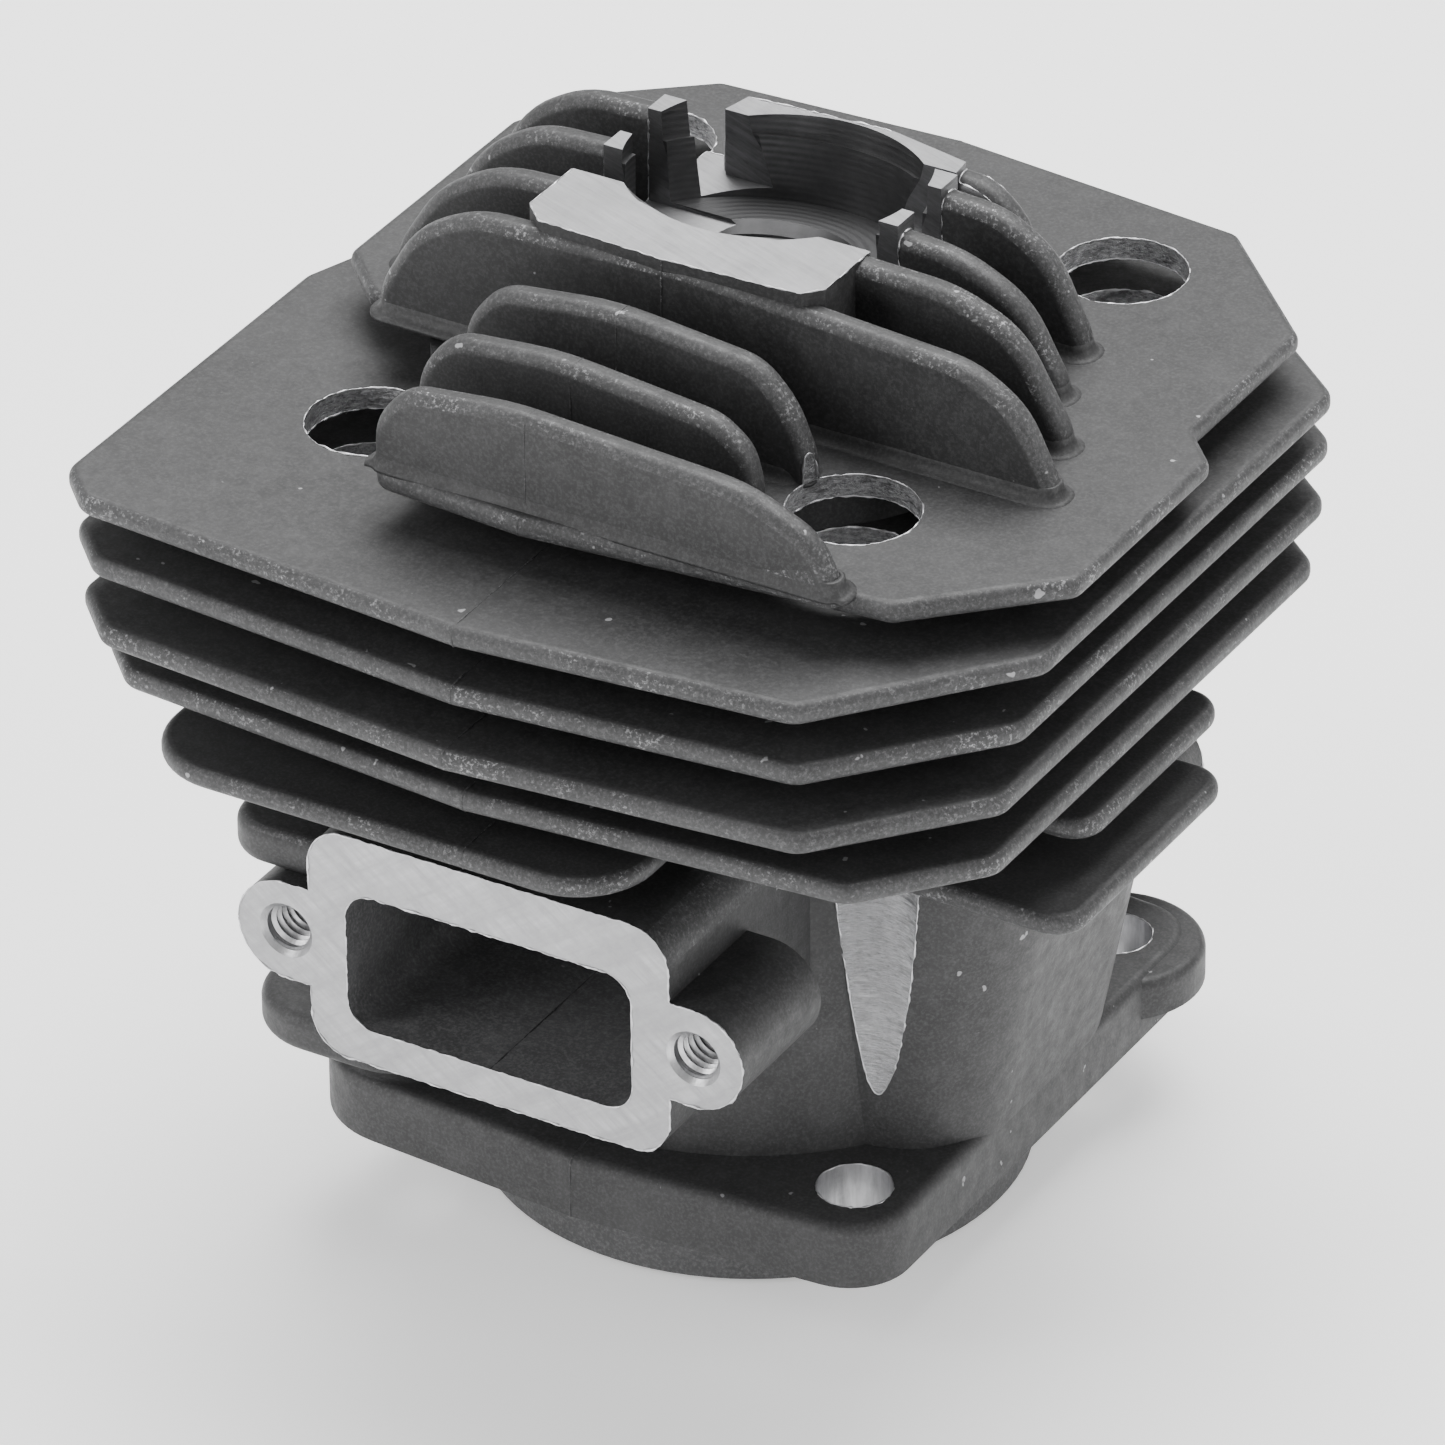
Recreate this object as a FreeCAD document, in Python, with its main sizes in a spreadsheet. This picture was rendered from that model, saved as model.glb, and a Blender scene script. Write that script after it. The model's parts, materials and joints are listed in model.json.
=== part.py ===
import FreeCAD, Part
import math
import os
import Sketcher

# Air-cooled two-stroke cylinder with its head cast in one, and the piston set it holds.
# Millimetres. Origin on the bore axis at the foot of the spigot, +Z up the bore,
# exhaust side towards -Y, intake side towards +Y.

doc = FreeCAD.newDocument("FinnedCylinder")
sheet = doc.addObject("Spreadsheet::Sheet", "Sizes")

SIZES = [
    # running gear
    ("bore_diameter", 43.0),
    ("plating_thickness", 0.15),
    ("running_clearance", 0.03),
    ("pin_clearance", 0.01),
    ("ring_side_clearance", 0.03),
    ("stroke", 34.0),
    ("crown_at_top", 64.0),
    ("squish_gap", 0.6),
    # spigot and base flange
    ("spigot_wall", 2.45),
    ("spigot_length", 8.0),
    ("flange_thickness", 5.9),
    ("flange_edge_side", 5.6),
    ("flange_edge_front", 8.1),
    ("flange_corner", 5.5),
    ("flange_corner_left", 8.5),
    ("ear_radius", 7.8),
    ("ear_thickness", 3.6),
    ("bolt_half_x", 22.7),
    ("bolt_half_y", 22.3),
    ("bolt_hole", 6.5),
    ("access_hole", 11.2),
    ("access_land", 0.15),
    # barrel and transfer ducts
    ("barrel_wall", 4.7),
    ("duct_wall_low", 1.5),
    ("duct_wall_high", 4.2),
    ("duct_half_low", 16.4),
    ("duct_half_high", 18.9),
    ("duct_corner_low", 9.0),
    ("duct_corner", 11.0),
    ("duct_knee_down", 33.9),
    ("channel_land", 2.7),
    ("channel_depth", 6.0),
    ("channel_slope", 3.4),
    ("channel_half", 6.5),
    ("channel_foot", 14.5),
    ("window_foot", 11.0),
    ("transfer_height", 9.0),
    # level fins
    ("fin_thickness", 2.0),
    ("fin_edge", 0.85),
    ("fin_corner", 2.6),
    ("parting_draft", 0.07),
    ("roof_thickness", 6.8),
    # standing fins
    ("rib_thickness", 2.6),
    ("rib_edge", 1.1),
    ("rib_pitch", 7.15),
    ("rib_first", 35.4),
    # plug well
    ("land_rise", 12.5),
    ("rear_land_rise", 10.0),
    ("boss_half", 14.0),
    ("slot_floor_rise", 3.8),
    ("well_offset", 3.2),
    ("well_rise", 4.1),
    ("well_tilt", 11.0),
    ("well_radius", 12.9),
    ("well_step", 0.35),
    ("well_step_height", 6.4),
    ("seat_height", 0.9),
    ("plug_minor", 12.65),
    ("plug_chamfer", 1.0),
    # combustion bowl
    ("bowl_diameter", 31.0),
    ("bowl_depth", 7.5),
    # exhaust side
    ("exhaust_face", 42.6),
    ("exhaust_face_up", 1.0),
    ("exhaust_frame_side", 3.5),
    ("exhaust_frame_tall", 8.6),
    ("exhaust_corner", 3.6),
    ("exhaust_port_half", 13.6),
    ("exhaust_below_crown", 0.4),
    ("exhaust_port_height", 13.0),
    ("exhaust_port_corner", 2.6),
    ("exhaust_ear", 4.6),
    ("exhaust_ear_out", 2.3),
    ("exhaust_boss_back", 12.6),
    # intake side
    ("intake_face", 38.0),
    ("intake_face_up", 1.6),
    ("intake_frame_side", 4.1),
    ("intake_frame_tall", 5.8),
    ("intake_port_half", 11.5),
    ("intake_below_skirt", 1.2),
    ("intake_port_height", 11.6),
    ("intake_ear", 4.6),
    ("intake_ear_out", 2.4),
    ("screw_minor", 4.2),
    ("intake_boss_back", 12.0),
    ("screw_depth", 9.5),
    ("screw_chamfer", 0.45),
    # piston set
    ("piston_height", 36.0),
    ("piston_wall", 3.2),
    ("crown_thickness", 4.4),
    ("crown_edge", 0.6),
    ("pin_below_crown", 18.0),
    ("pin_diameter", 11.0),
    ("pin_bore", 7.0),
    ("pin_inset", 5.0),
    ("pin_boss", 17.0),
    ("boss_gap", 14.0),
    ("skirt_window_half", 7.5),
    ("skirt_window_height", 13.0),
    ("ring_height", 1.2),
    ("ring_depth", 1.9),
    ("ring_gap", 0.5),
    ("ring_end_clearance", 0.01),
    ("ring_back_clearance", 0.15),
    ("top_ring_down", 3.4),
    ("lower_ring_down", 7.2),
    ("locating_pin", 1.2),
    ("pin_offset", 5.0),
    ("locating_pin_length", 2.8),
    ("locating_pin_sunk", 1.7),
    ("clip_wire", 1.1),
    ("clip_reach", 0.5),
]


class Size:
    """A number that remembers the formula it came from."""

    def __init__(self, value, text):
        self.value = float(value)
        self.text = text

    def mix(self, other, sign, value):
        right = other.text if isinstance(other, Size) else repr(float(other))
        return Size(value, "(" + self.text + " " + sign + " " + right + ")")

    def __add__(self, other):
        return self.mix(other, "+", self.value + number(other))

    def __sub__(self, other):
        return self.mix(other, "-", self.value - number(other))

    def __mul__(self, other):
        return self.mix(other, "*", self.value * number(other))

    def __truediv__(self, other):
        return self.mix(other, "/", self.value / number(other))

    def __neg__(self):
        return Size(-self.value, "(0 - " + self.text + ")")


def number(item):
    return item.value if isinstance(item, Size) else float(item)


class Table:
    """Every driving size, by name."""


s = Table()
row = 1


def driving(name, value):
    """Write one driving size into the sheet and hand it back."""
    global row
    sheet.set("A%d" % row, name)
    sheet.set("B%d" % row, repr(float(value)))
    sheet.setAlias("B%d" % row, name)
    row += 1
    size = Size(value, "Sizes." + name)
    setattr(s, name, size)
    return size


for size_name, size_value in SIZES:
    driving(size_name, size_value)

# Sizes that follow from the ones above.
s.spigot_diameter = s.bore_diameter + s.spigot_wall * 2.0
s.barrel_radius = s.bore_diameter / 2.0 + s.barrel_wall
s.flange_half_width = s.bolt_half_x + s.flange_edge_side
s.flange_half_depth = s.bolt_half_y + s.flange_edge_front
s.channel_in = s.bore_diameter / 2.0 + s.channel_land
s.channel_out = s.channel_in + s.channel_depth
s.duct_out_low = s.channel_out - s.channel_slope + s.duct_wall_low
s.duct_out_high = s.channel_out + s.duct_wall_high
s.head_plate_top = s.crown_at_top + s.squish_gap + s.bowl_depth + s.roof_thickness
s.land_top = s.head_plate_top + s.land_rise
s.rear_land_top = s.head_plate_top + s.rear_land_rise
s.slot_floor = s.head_plate_top + s.slot_floor_rise
s.well_height = s.head_plate_top + s.well_rise
s.duct_knee = s.head_plate_top - s.duct_knee_down
s.exhaust_port_mid = (s.crown_at_top - s.stroke - s.exhaust_below_crown
                      + s.exhaust_port_height / 2.0)
s.exhaust_mid = s.exhaust_port_mid + s.exhaust_face_up
s.exhaust_half_width = s.exhaust_port_half + s.exhaust_frame_side
s.exhaust_height = s.exhaust_port_height + s.exhaust_frame_tall
s.exhaust_screw_x = s.exhaust_half_width + s.exhaust_ear_out
s.intake_port_mid = (s.crown_at_top - s.piston_height - s.intake_below_skirt
                     - s.intake_port_height / 2.0)
s.intake_mid = s.intake_port_mid + s.intake_face_up
s.intake_half_width = s.intake_port_half + s.intake_frame_side
s.intake_height = s.intake_port_height + s.intake_frame_tall
s.intake_screw_x = s.intake_half_width + s.intake_ear_out
s.pin_length = s.bore_diameter - s.pin_inset * 2.0


def bind(obj, path, item):
    if isinstance(item, Size):
        obj.setExpression(path, item.text)
    elif path.startswith("Placement"):
        obj.setExpression(path, repr(float(item)))
    else:
        setattr(obj, path, float(item))


def place(obj, x=0.0, y=0.0, z=0.0):
    base = FreeCAD.Vector(number(x), number(y), number(z))
    obj.Placement = FreeCAD.Placement(base, obj.Placement.Rotation)
    for axis, item in zip("xyz", (x, y, z)):
        if isinstance(item, Size):
            obj.setExpression("Placement.Base." + axis, item.text)
    return obj


def box(name, x0, x1, y0, y1, z0, z1):
    obj = doc.addObject("Part::Box", name)
    for path, low, high in (("Length", x0, x1), ("Width", y0, y1), ("Height", z0, z1)):
        span = high - low if isinstance(high, Size) else -low + high if isinstance(low, Size) else high - low
        bind(obj, path, span)
    return place(obj, x0, y0, z0)


ALONG_Y = FreeCAD.Rotation(FreeCAD.Vector(1, 0, 0), -90)
ALONG_X = FreeCAD.Rotation(FreeCAD.Vector(0, 1, 0), 90)


def cylinder(name, radius, height, x=0.0, y=0.0, z=0.0, turn=None):
    obj = doc.addObject("Part::Cylinder", name)
    bind(obj, "Radius", radius)
    bind(obj, "Height", height)
    if turn is not None:
        obj.Placement = FreeCAD.Placement(FreeCAD.Vector(), turn)
    return place(obj, x, y, z)


def cone(name, low, high, height, x=0.0, y=0.0, z=0.0, turn=None):
    obj = doc.addObject("Part::Cone", name)
    bind(obj, "Radius1", low)
    bind(obj, "Radius2", high)
    bind(obj, "Height", height)
    if turn is not None:
        obj.Placement = FreeCAD.Placement(FreeCAD.Vector(), turn)
    return place(obj, x, y, z)


def outline(name, corners):
    """A closed sketch of straight lines, every corner held at its own position."""
    sketch = doc.addObject("Sketcher::SketchObject", name)
    points = [FreeCAD.Vector(number(x), number(y), 0) for x, y in corners]
    count = len(points)
    for i in range(count):
        sketch.addGeometry(Part.LineSegment(points[i], points[(i + 1) % count]), False)
    for i in range(count):
        sketch.addConstraint(Sketcher.Constraint("Coincident", i, 2, (i + 1) % count, 1))
    for i, corner in enumerate(corners):
        for kind, item in zip(("DistanceX", "DistanceY"), corner):
            index = sketch.addConstraint(Sketcher.Constraint(kind, i, 1, number(item)))
            if isinstance(item, Size):
                sketch.setExpression("Constraints[%d]" % index, item.text)
    return sketch


def prism(name, corners, low, height, turn=None, offset=None):
    sketch = outline(name + "Outline", corners)
    if turn is None:
        place(sketch, 0.0, 0.0, low)
        direction = FreeCAD.Vector(0, 0, 1)
    else:
        sketch.Placement = FreeCAD.Placement(FreeCAD.Vector(), turn)
        place(sketch, *offset)
        direction = FreeCAD.Vector(0, 1, 0)
    solid = doc.addObject("Part::Extrusion", name)
    solid.Base = sketch
    solid.DirMode = "Custom"
    solid.Dir = direction
    solid.Solid = True
    bind(solid, "LengthFwd", height)
    return solid


def edges_where(obj, test):
    doc.recompute()
    return [i + 1 for i, edge in enumerate(obj.Shape.Edges) if test(edge)]


def span(edge, axis):
    values = [getattr(v.Point, axis) for v in edge.Vertexes]
    return max(values) - min(values)


def level(edge, axis, value, slack=0.01):
    box_of = edge.BoundBox
    low = getattr(box_of, axis + "Min")
    high = getattr(box_of, axis + "Max")
    return abs(low - value) < slack and abs(high - value) < slack


def rounded(name, base, picks):
    """Round the picked edges; picks holds (edge number, radius)."""
    solid = doc.addObject("Part::Fillet", name)
    solid.Base = base
    solid.Edges = [(index, number(radius), number(radius)) for index, radius in picks]
    doc.recompute()
    return solid


def round_all(name, base, axis, corner, low, high, rim):
    """Round the edges that run along one axis, then the rims at both ends of it."""
    full = abs(number(high) - number(low)) - 0.01
    runs = edges_where(base, lambda e: len(e.Vertexes) == 2 and span(e, axis) > full)
    first = rounded(name + "Corners", base, [(i, corner[k] if isinstance(corner, list) else corner)
                                             for k, i in enumerate(runs)])
    cap = axis.upper()
    rims = edges_where(first, lambda e: level(e, cap, number(low)) or level(e, cap, number(high)))
    return rounded(name, first, [(i, rim) for i in rims])


def fuse(name, parts):
    obj = doc.addObject("Part::MultiFuse", name)
    obj.Shapes = parts
    obj.Refine = True
    doc.recompute()
    return obj


def cut(name, base, tool):
    obj = doc.addObject("Part::Cut", name)
    obj.Base = base
    obj.Tool = tool
    obj.Refine = True
    doc.recompute()
    return obj


# ---------------------------------------------------------------- level fins
# Each fin: how far its underside hangs below the head plate's top, left, right, front,
# back, front-left cut, front-right cut (x, y), back-right cut, back-left cut (x, y). The
# front and back edges run to a shallow peak over the parting plane, because the two side
# dies pull away left and right.
FINS = [
    ("fin_1", 6.93, 40.6, 43.3, 47.0, 38.4, 3.6, 13.6, 16.6, 17.4, 14.0, 42.4),
    ("fin_2", 12.18, 40.1, 42.5, 47.4, 38.0, 4.4, 12.4, 14.6, 15.8, 14.0, 42.0),
    ("fin_3", 17.5, 39.1, 42.4, 48.9, 37.6, 5.0, 11.4, 13.4, 16.0, 13.4, 41.6),
    ("fin_4", 22.9, 38.4, 42.2, 46.0, 37.0, 4.6, 8.4, 10.0, 16.8, 13.0, 41.0),
]
FIN_FIELDS = ("drop", "left", "right", "front", "back", "cut_front_left", "cut_front_x",
              "cut_front_y", "cut_back_right", "cut_back_left_x", "cut_back_left_y")


def fin_corners(f):
    t = s.parting_draft
    return [
        (-(f["left"] - f["cut_front_left"]), -(f["front"] - f["left"] * t)),
        (0.0, -f["front"]),
        (f["right"] - f["cut_front_x"], -(f["front"] - f["right"] * t)),
        (f["right"], -(f["front"] - f["cut_front_y"] - f["right"] * t)),
        (f["right"], f["back"] - f["cut_back_right"]),
        (f["right"] - f["cut_back_right"], f["back"] - f["right"] * t),
        (0.0, f["back"]),
        (-(f["left"] - f["cut_back_left_x"]), f["back"] - f["left"] * t),
        (-f["left"], f["back"] - f["cut_back_left_y"]),
        (-f["left"], -(f["front"] - f["cut_front_left"] - f["left"] * t)),
    ]


body_parts = []
for fin in FINS:
    f = {}
    for field, value in zip(FIN_FIELDS, fin[1:]):
        f[field] = driving(fin[0] + "_" + field, value)
    f["under"] = s.head_plate_top - f["drop"]
    plate = prism(fin[0] + "_plate", fin_corners(f), f["under"], s.fin_thickness)
    body_parts.append(round_all(fin[0] + "_rounded", plate, "z", s.fin_corner,
                                f["under"], f["under"] + s.fin_thickness, s.fin_edge))

# The head plate under the standing fins, with a step in its right edge and a bay at the
# front left that leaves the access hole below it free.
HEAD = [
    ("head_left", 34.8), ("head_right", 43.7), ("head_right_back", 40.3), ("head_front", 36.8),
    ("head_back", 35.7), ("head_cut_x", 11.0), ("head_cut_y", 10.8), ("head_cut_back", 12.4),
    ("head_step", -1.2), ("head_bay_x", 14.4), ("head_bay_y", 11.0), ("head_cut_back_left", 7.0),
]
for size_name, size_value in HEAD:
    driving(size_name, size_value)
head_under = s.head_plate_top - s.fin_thickness
head = prism("head_plate", [
    (-s.head_bay_x, -(s.head_front - s.head_bay_x * s.parting_draft)),
    (0.0, -s.head_front),
    (s.head_right - s.head_cut_x, -(s.head_front - s.head_right * s.parting_draft)),
    (s.head_right, -(s.head_front - s.head_cut_y - s.head_right * s.parting_draft)),
    (s.head_right, s.head_step),
    (s.head_right_back, s.head_step + 3.6),
    (s.head_right_back, s.head_back - s.head_cut_back - s.head_right_back * s.parting_draft),
    (s.head_right_back - s.head_cut_back, s.head_back - s.head_right_back * s.parting_draft),
    (0.0, s.head_back),
    (-(s.head_left - s.head_cut_back_left - 5.0), s.head_back - s.head_left * s.parting_draft + 1.2),
    (-(s.head_left - 5.0), s.head_back - s.head_cut_back_left),
    (-s.head_left, s.head_back - s.head_cut_back_left - 9.0),
    (-s.head_left, -(s.head_bay_y - 4.9)),
    (-(s.head_left - 4.9), -s.head_bay_y),
    (-(s.head_bay_x + 6.4), -(s.head_bay_y + 0.8)),
    (-s.head_bay_x, -(s.head_bay_y + 7.2)),
], head_under, s.fin_thickness)
body_parts.append(round_all("head_plate_rounded", head, "z", 1.7, head_under, s.head_plate_top, s.fin_edge))

# Lower fins: a left lobe and a right ledge either side of the exhaust box.
LOBES = [
    ("lobe_a", 28.25, -31.8, 14.0, -46.3, -16.0, 7.0, 0.9),
    ("lobe_b", 37.6, -26.6, -8.0, -41.2, -18.0, 4.0, 1.2),
    ("lobe_c", 63.4, -33.0, -14.0, -30.4, -14.0, 6.4, 1.2),
    ("ledge_a", 28.25, 14.0, 42.2, -18.4, 5.4, 3.0, 0.9),
    ("ledge_b", 33.55, 14.0, 44.0, -24.4, 2.8, 3.0, 0.9),
    ("ledge_c", 28.25, -38.4, -14.0, -12.4, 12.0, 4.0, 0.9),
    ("ledge_d", 33.55, -36.6, -14.0, -14.4, 10.0, 4.0, 0.9),
]
for lobe in LOBES:
    drop, x0, x1, y0, y1 = (driving(lobe[0] + "_" + field, value)
                            for field, value in zip(("drop", "x_low", "x_high", "y_low", "y_high"), lobe[1:6]))
    under = s.head_plate_top - drop
    thick = s.fin_thickness * (1.9 if lobe[0] in ("lobe_b", "lobe_c") else 1.0)
    slab = box(lobe[0] + "_slab", x0, x1, y0, y1, under, under + thick)
    body_parts.append(round_all(lobe[0] + "_rounded", slab, "z", lobe[6], under, under + thick, lobe[7]))

# ------------------------------------------------------------- standing fins
# Number in the row, left end, right end, rise above the head plate, the place of the peak, then how far each
# corner of the outline stands in from the end and down from the top.
RIBS = [
    (0, -14.5, 28.5, 8.6, -2.0, [(0.0, 4.5), (2.8, 1.1)], [(8.6, 1.2), (2.1, 4.1), (0.0, 8.5)]),
    (1, -14.8, 17.0, 9.8, -2.0, [(0.0, 5.0), (3.0, 0.9)], [(3.8, 1.5), (0.9, 3.7), (0.0, 6.8)]),
    (2, -14.7, 17.8, 11.1, -1.0, [(0.0, 5.2), (3.0, 1.3)], [(5.0, 1.4), (1.8, 4.6), (0.0, 9.0)]),
    (3, -27.3, 36.3, 12.0, 2.0, [(0.0, 9.6), (3.4, 3.6), (9.0, 0.6)], [(8.0, 1.8), (3.2, 4.7), (0.0, 11.2)]),
    (4, -30.0, 33.3, 12.7, 4.0, [(0.0, 10.8), (3.8, 4.6), (9.6, 1.2)], [(10.5, 0.6), (4.5, 3.2), (0.0, 11.0)]),
    (5, -29.8, 29.0, 12.7, -2.0, [(0.0, 11.0), (3.6, 4.2), (9.0, 0.8)], [(9.5, 1.8), (3.6, 4.7), (0.0, 11.2)]),
    (6, -29.8, 27.2, 12.6, -2.0, [(0.0, 10.6), (3.4, 4.0), (9.0, 0.7)], [(8.0, 1.3), (3.2, 4.3), (0.0, 11.0)]),
    (7, -11.4, 18.4, 10.0, 2.0, [(0.0, 3.0), (1.4, 0.6)], [(4.6, 0.9), (1.6, 3.2), (0.0, 6.6)]),
]
rib_foot = s.head_plate_top - 0.9
ROUND_SHARE = 0.42
ROUND_MOST = 30.0


def corner_rounds(points):
    """The largest comfortable radius for each corner of an open outline."""
    rounds = []
    for before, here, after in zip(points, points[1:], points[2:]):
        first, second = here.sub(before), after.sub(here)
        half_turn = first.getAngle(second) / 2.0
        run = min(first.Length, second.Length) * s.round_share.value
        rounds.append((here, min(run / max(math.tan(half_turn), 0.01), s.round_most.value)))
    return rounds


driving("round_share", ROUND_SHARE)
driving("round_most", ROUND_MOST)
for index, left, right, rise, peak, left_corners, right_corners in RIBS:
    stem = "rib_%d" % (index + 1)
    x0 = driving(stem + "_left", left)
    x1 = driving(stem + "_right", right)
    z1 = s.head_plate_top + driving(stem + "_rise", rise)
    y0 = -s.rib_first + s.rib_pitch * float(index)
    outline_points = [(x0, rib_foot)]
    outline_points += [(x0 + inward, z1 - down) for inward, down in left_corners]
    outline_points.append((driving(stem + "_peak", peak), z1))
    outline_points += [(x1 - inward, z1 - down) for inward, down in right_corners]
    outline_points.append((x1, rib_foot))
    slab = prism(stem + "_slab", outline_points, 0.0, s.rib_thickness,
                 turn=FreeCAD.Rotation(FreeCAD.Vector(1, 0, 0), 90), offset=(0.0, y0, 0.0))
    flat = [FreeCAD.Vector(number(x), 0, number(z)) for x, z in outline_points]
    doc.recompute()
    bends = []
    for here, radius in corner_rounds(flat):
        bends += [(i, radius) for i in edges_where(slab, lambda e: span(e, "y") > 1.0
                  and level(e, "X", here.x) and level(e, "Z", here.z))]
    first = rounded(stem + "_bends", slab, bends)
    y_low, y_high = y0.value, (y0 + s.rib_thickness).value
    rims = edges_where(first, lambda e: (level(e, "Y", y_low) or level(e, "Y", y_high))
                       and not level(e, "Z", rib_foot.value))
    body_parts.append(rounded(stem + "_rounded", first, [(i, s.rib_edge) for i in rims]))

# ------------------------------------------------------- plug boss and lands
row_four = -s.rib_first + s.rib_pitch * 3.0
row_five = -s.rib_first + s.rib_pitch * 4.0 + s.rib_thickness
row_eight = -s.rib_first + s.rib_pitch * 7.0 + s.rib_thickness
front_land = prism("front_land", [
    (-(s.boss_half - 2.0), row_four + 0.7),
    (0.0, row_four + 0.1),
    (s.boss_half - 1.4, row_four + 0.7),
    (s.boss_half, row_four + 2.4),
    (s.boss_half, row_five - 0.2),
    (-s.boss_half, row_five - 0.2),
    (-s.boss_half, row_four + 2.7),
], s.head_plate_top - 1.0, s.land_top - s.head_plate_top + 1.0)
body_parts.append(front_land)
body_parts.append(box("boss", -s.boss_half, s.boss_half, row_four + 0.8, row_eight - 0.2,
                      s.head_plate_top - 1.0, s.slot_floor))
for index in (5, 6):
    y0 = -s.rib_first + s.rib_pitch * float(index)
    body_parts.append(box("posts_%d" % index, -(s.boss_half - 0.1), s.boss_half - 0.1, y0 - 0.06,
                          y0 + s.rib_thickness + 0.06, s.slot_floor - 1.0, s.land_top + 1.0))
rear_land = prism("rear_land", [
    (-(s.boss_half - 3.4), row_eight - s.rib_thickness - 0.3),
    (s.boss_half - 2.6, row_eight - s.rib_thickness - 0.3),
    (s.boss_half - 2.8, row_eight - 0.9),
    (s.boss_half - 10.5, row_eight + 0.7),
    (-(s.boss_half - 4.0), row_eight - 0.1),
], s.head_plate_top - 1.0, s.rear_land_top - s.head_plate_top + 1.0)
body_parts.append(rear_land)

# ------------------------------------------------- barrel, head core, ducts
body_parts.append(cylinder("barrel", s.barrel_radius, head_under + 1.0 - s.spigot_length - 1.0,
                           0.0, 0.0, s.spigot_length + 1.0))


def side_ducts():
    """Both side ducts: straight-sided loft that leans out towards the top."""
    low = s.spigot_length + s.flange_thickness - 1.0
    sections = []
    for out, half, corner, height in (
            (s.duct_out_low, s.duct_half_low, s.duct_corner_low, low),
            (s.duct_out_high, s.duct_half_high, s.duct_corner, s.duct_knee),
            (s.duct_out_high, s.duct_half_high, s.duct_corner, f["under"] + 0.8)):
        x, y, r, z = number(out), number(half), number(corner), number(height)
        rect = Part.makePlane(2 * x, 2 * y, FreeCAD.Vector(-x, -y, z))
        solid = rect.extrude(FreeCAD.Vector(0, 0, 1))
        solid = solid.makeFillet(r, [e for e in solid.Edges if span(e, "z") > 0.5])
        face = [f for f in solid.Faces if abs(f.BoundBox.ZMax - z) < 1e-6][0]
        sections.append(face.OuterWire)
    return Part.makeLoft(sections, True, True)


ducts = doc.addObject("Part::Feature", "side_ducts")
ducts.Shape = side_ducts()
body_parts.append(ducts)

# ---------------------------------------------------------- base and spigot
flange_top = s.spigot_length + s.flange_thickness
t = s.parting_draft
flange = prism("base_flange", [
    (-s.flange_half_width, -(s.flange_half_depth - s.flange_half_width * t)),
    (0.0, -s.flange_half_depth),
    (s.flange_half_width, -(s.flange_half_depth - s.flange_half_width * t)),
    (s.flange_half_width, s.flange_half_depth - s.flange_half_width * t),
    (0.0, s.flange_half_depth),
    (-s.flange_half_width, s.flange_half_depth - s.flange_half_width * t),
], s.spigot_length, s.flange_thickness)
corner_edges = edges_where(flange, lambda e: span(e, "z") > 1.0 and abs(e.Vertexes[0].Point.x) > 1.0)
front_left = [i for i in corner_edges if flange.Shape.Edges[i - 1].BoundBox.XMax < 0
              and flange.Shape.Edges[i - 1].BoundBox.YMax < 0]
flange_corners = rounded("base_flange_corners", flange, [(i, s.flange_corner_left if i in front_left
                                                          else s.flange_corner) for i in corner_edges])
top_edges = edges_where(flange_corners, lambda e: level(e, "Z", flange_top.value))
body_parts.append(rounded("base_flange_rounded", flange_corners, [(i, 1.1) for i in top_edges]))
for side, x in (("right", s.bolt_half_x), ("left", -s.bolt_half_x)):
    ear = cylinder("rear_ear_" + side, s.ear_radius, s.ear_thickness, x, s.bolt_half_y,
                   flange_top - 0.3 - s.ear_thickness)
    rims = edges_where(ear, lambda e: level(e, "Z", (flange_top - 0.3).value))
    body_parts.append(rounded("rear_ear_rounded_" + side, ear, [(i, 0.9) for i in rims]))
spigot = cylinder("spigot", s.spigot_diameter / 2.0, s.spigot_length + 2.0)
body_parts.append(spigot)

# --------------------------------------------------------------- port boxes
PORTS = [
    ("exhaust", -1.0, s.exhaust_face, s.exhaust_mid, s.exhaust_half_width, s.exhaust_height,
     s.exhaust_ear, s.exhaust_screw_x, s.exhaust_boss_back, s.exhaust_corner),
    ("intake", 1.0, s.intake_face, s.intake_mid, s.intake_half_width, s.intake_height,
     s.intake_ear, s.intake_screw_x, s.intake_boss_back, s.exhaust_corner),
]
for name, way, face, mid, half, height, ear, screw_x, back, corner in PORTS:
    y0, y1 = (-face, -s.barrel_radius * 0.55) if way < 0 else (s.barrel_radius * 0.55, face)
    block = box(name + "_box", -half, half, y0, y1, mid - height / 2.0, mid + height / 2.0)
    runs = edges_where(block, lambda e: span(e, "y") > 5.0)
    body_parts.append(rounded(name + "_box_rounded", block, [(i, corner) for i in runs]))
    for side, x in (("left", -screw_x), ("right", screw_x)):
        start = -face if way < 0 else face - back
        body_parts.append(cylinder(name + "_boss_" + side, ear, back, x, start, mid - 0.2, ALONG_Y))
        inner = box(name + "_web_" + side, -screw_x if side == "left" else half - 1.0,
                    -(half - 1.0) if side == "left" else screw_x,
                    start, start + back, mid - 0.2 - ear, mid - 0.2 + ear)
        body_parts.append(inner)

raw = fuse("raw_casting", body_parts)

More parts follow.
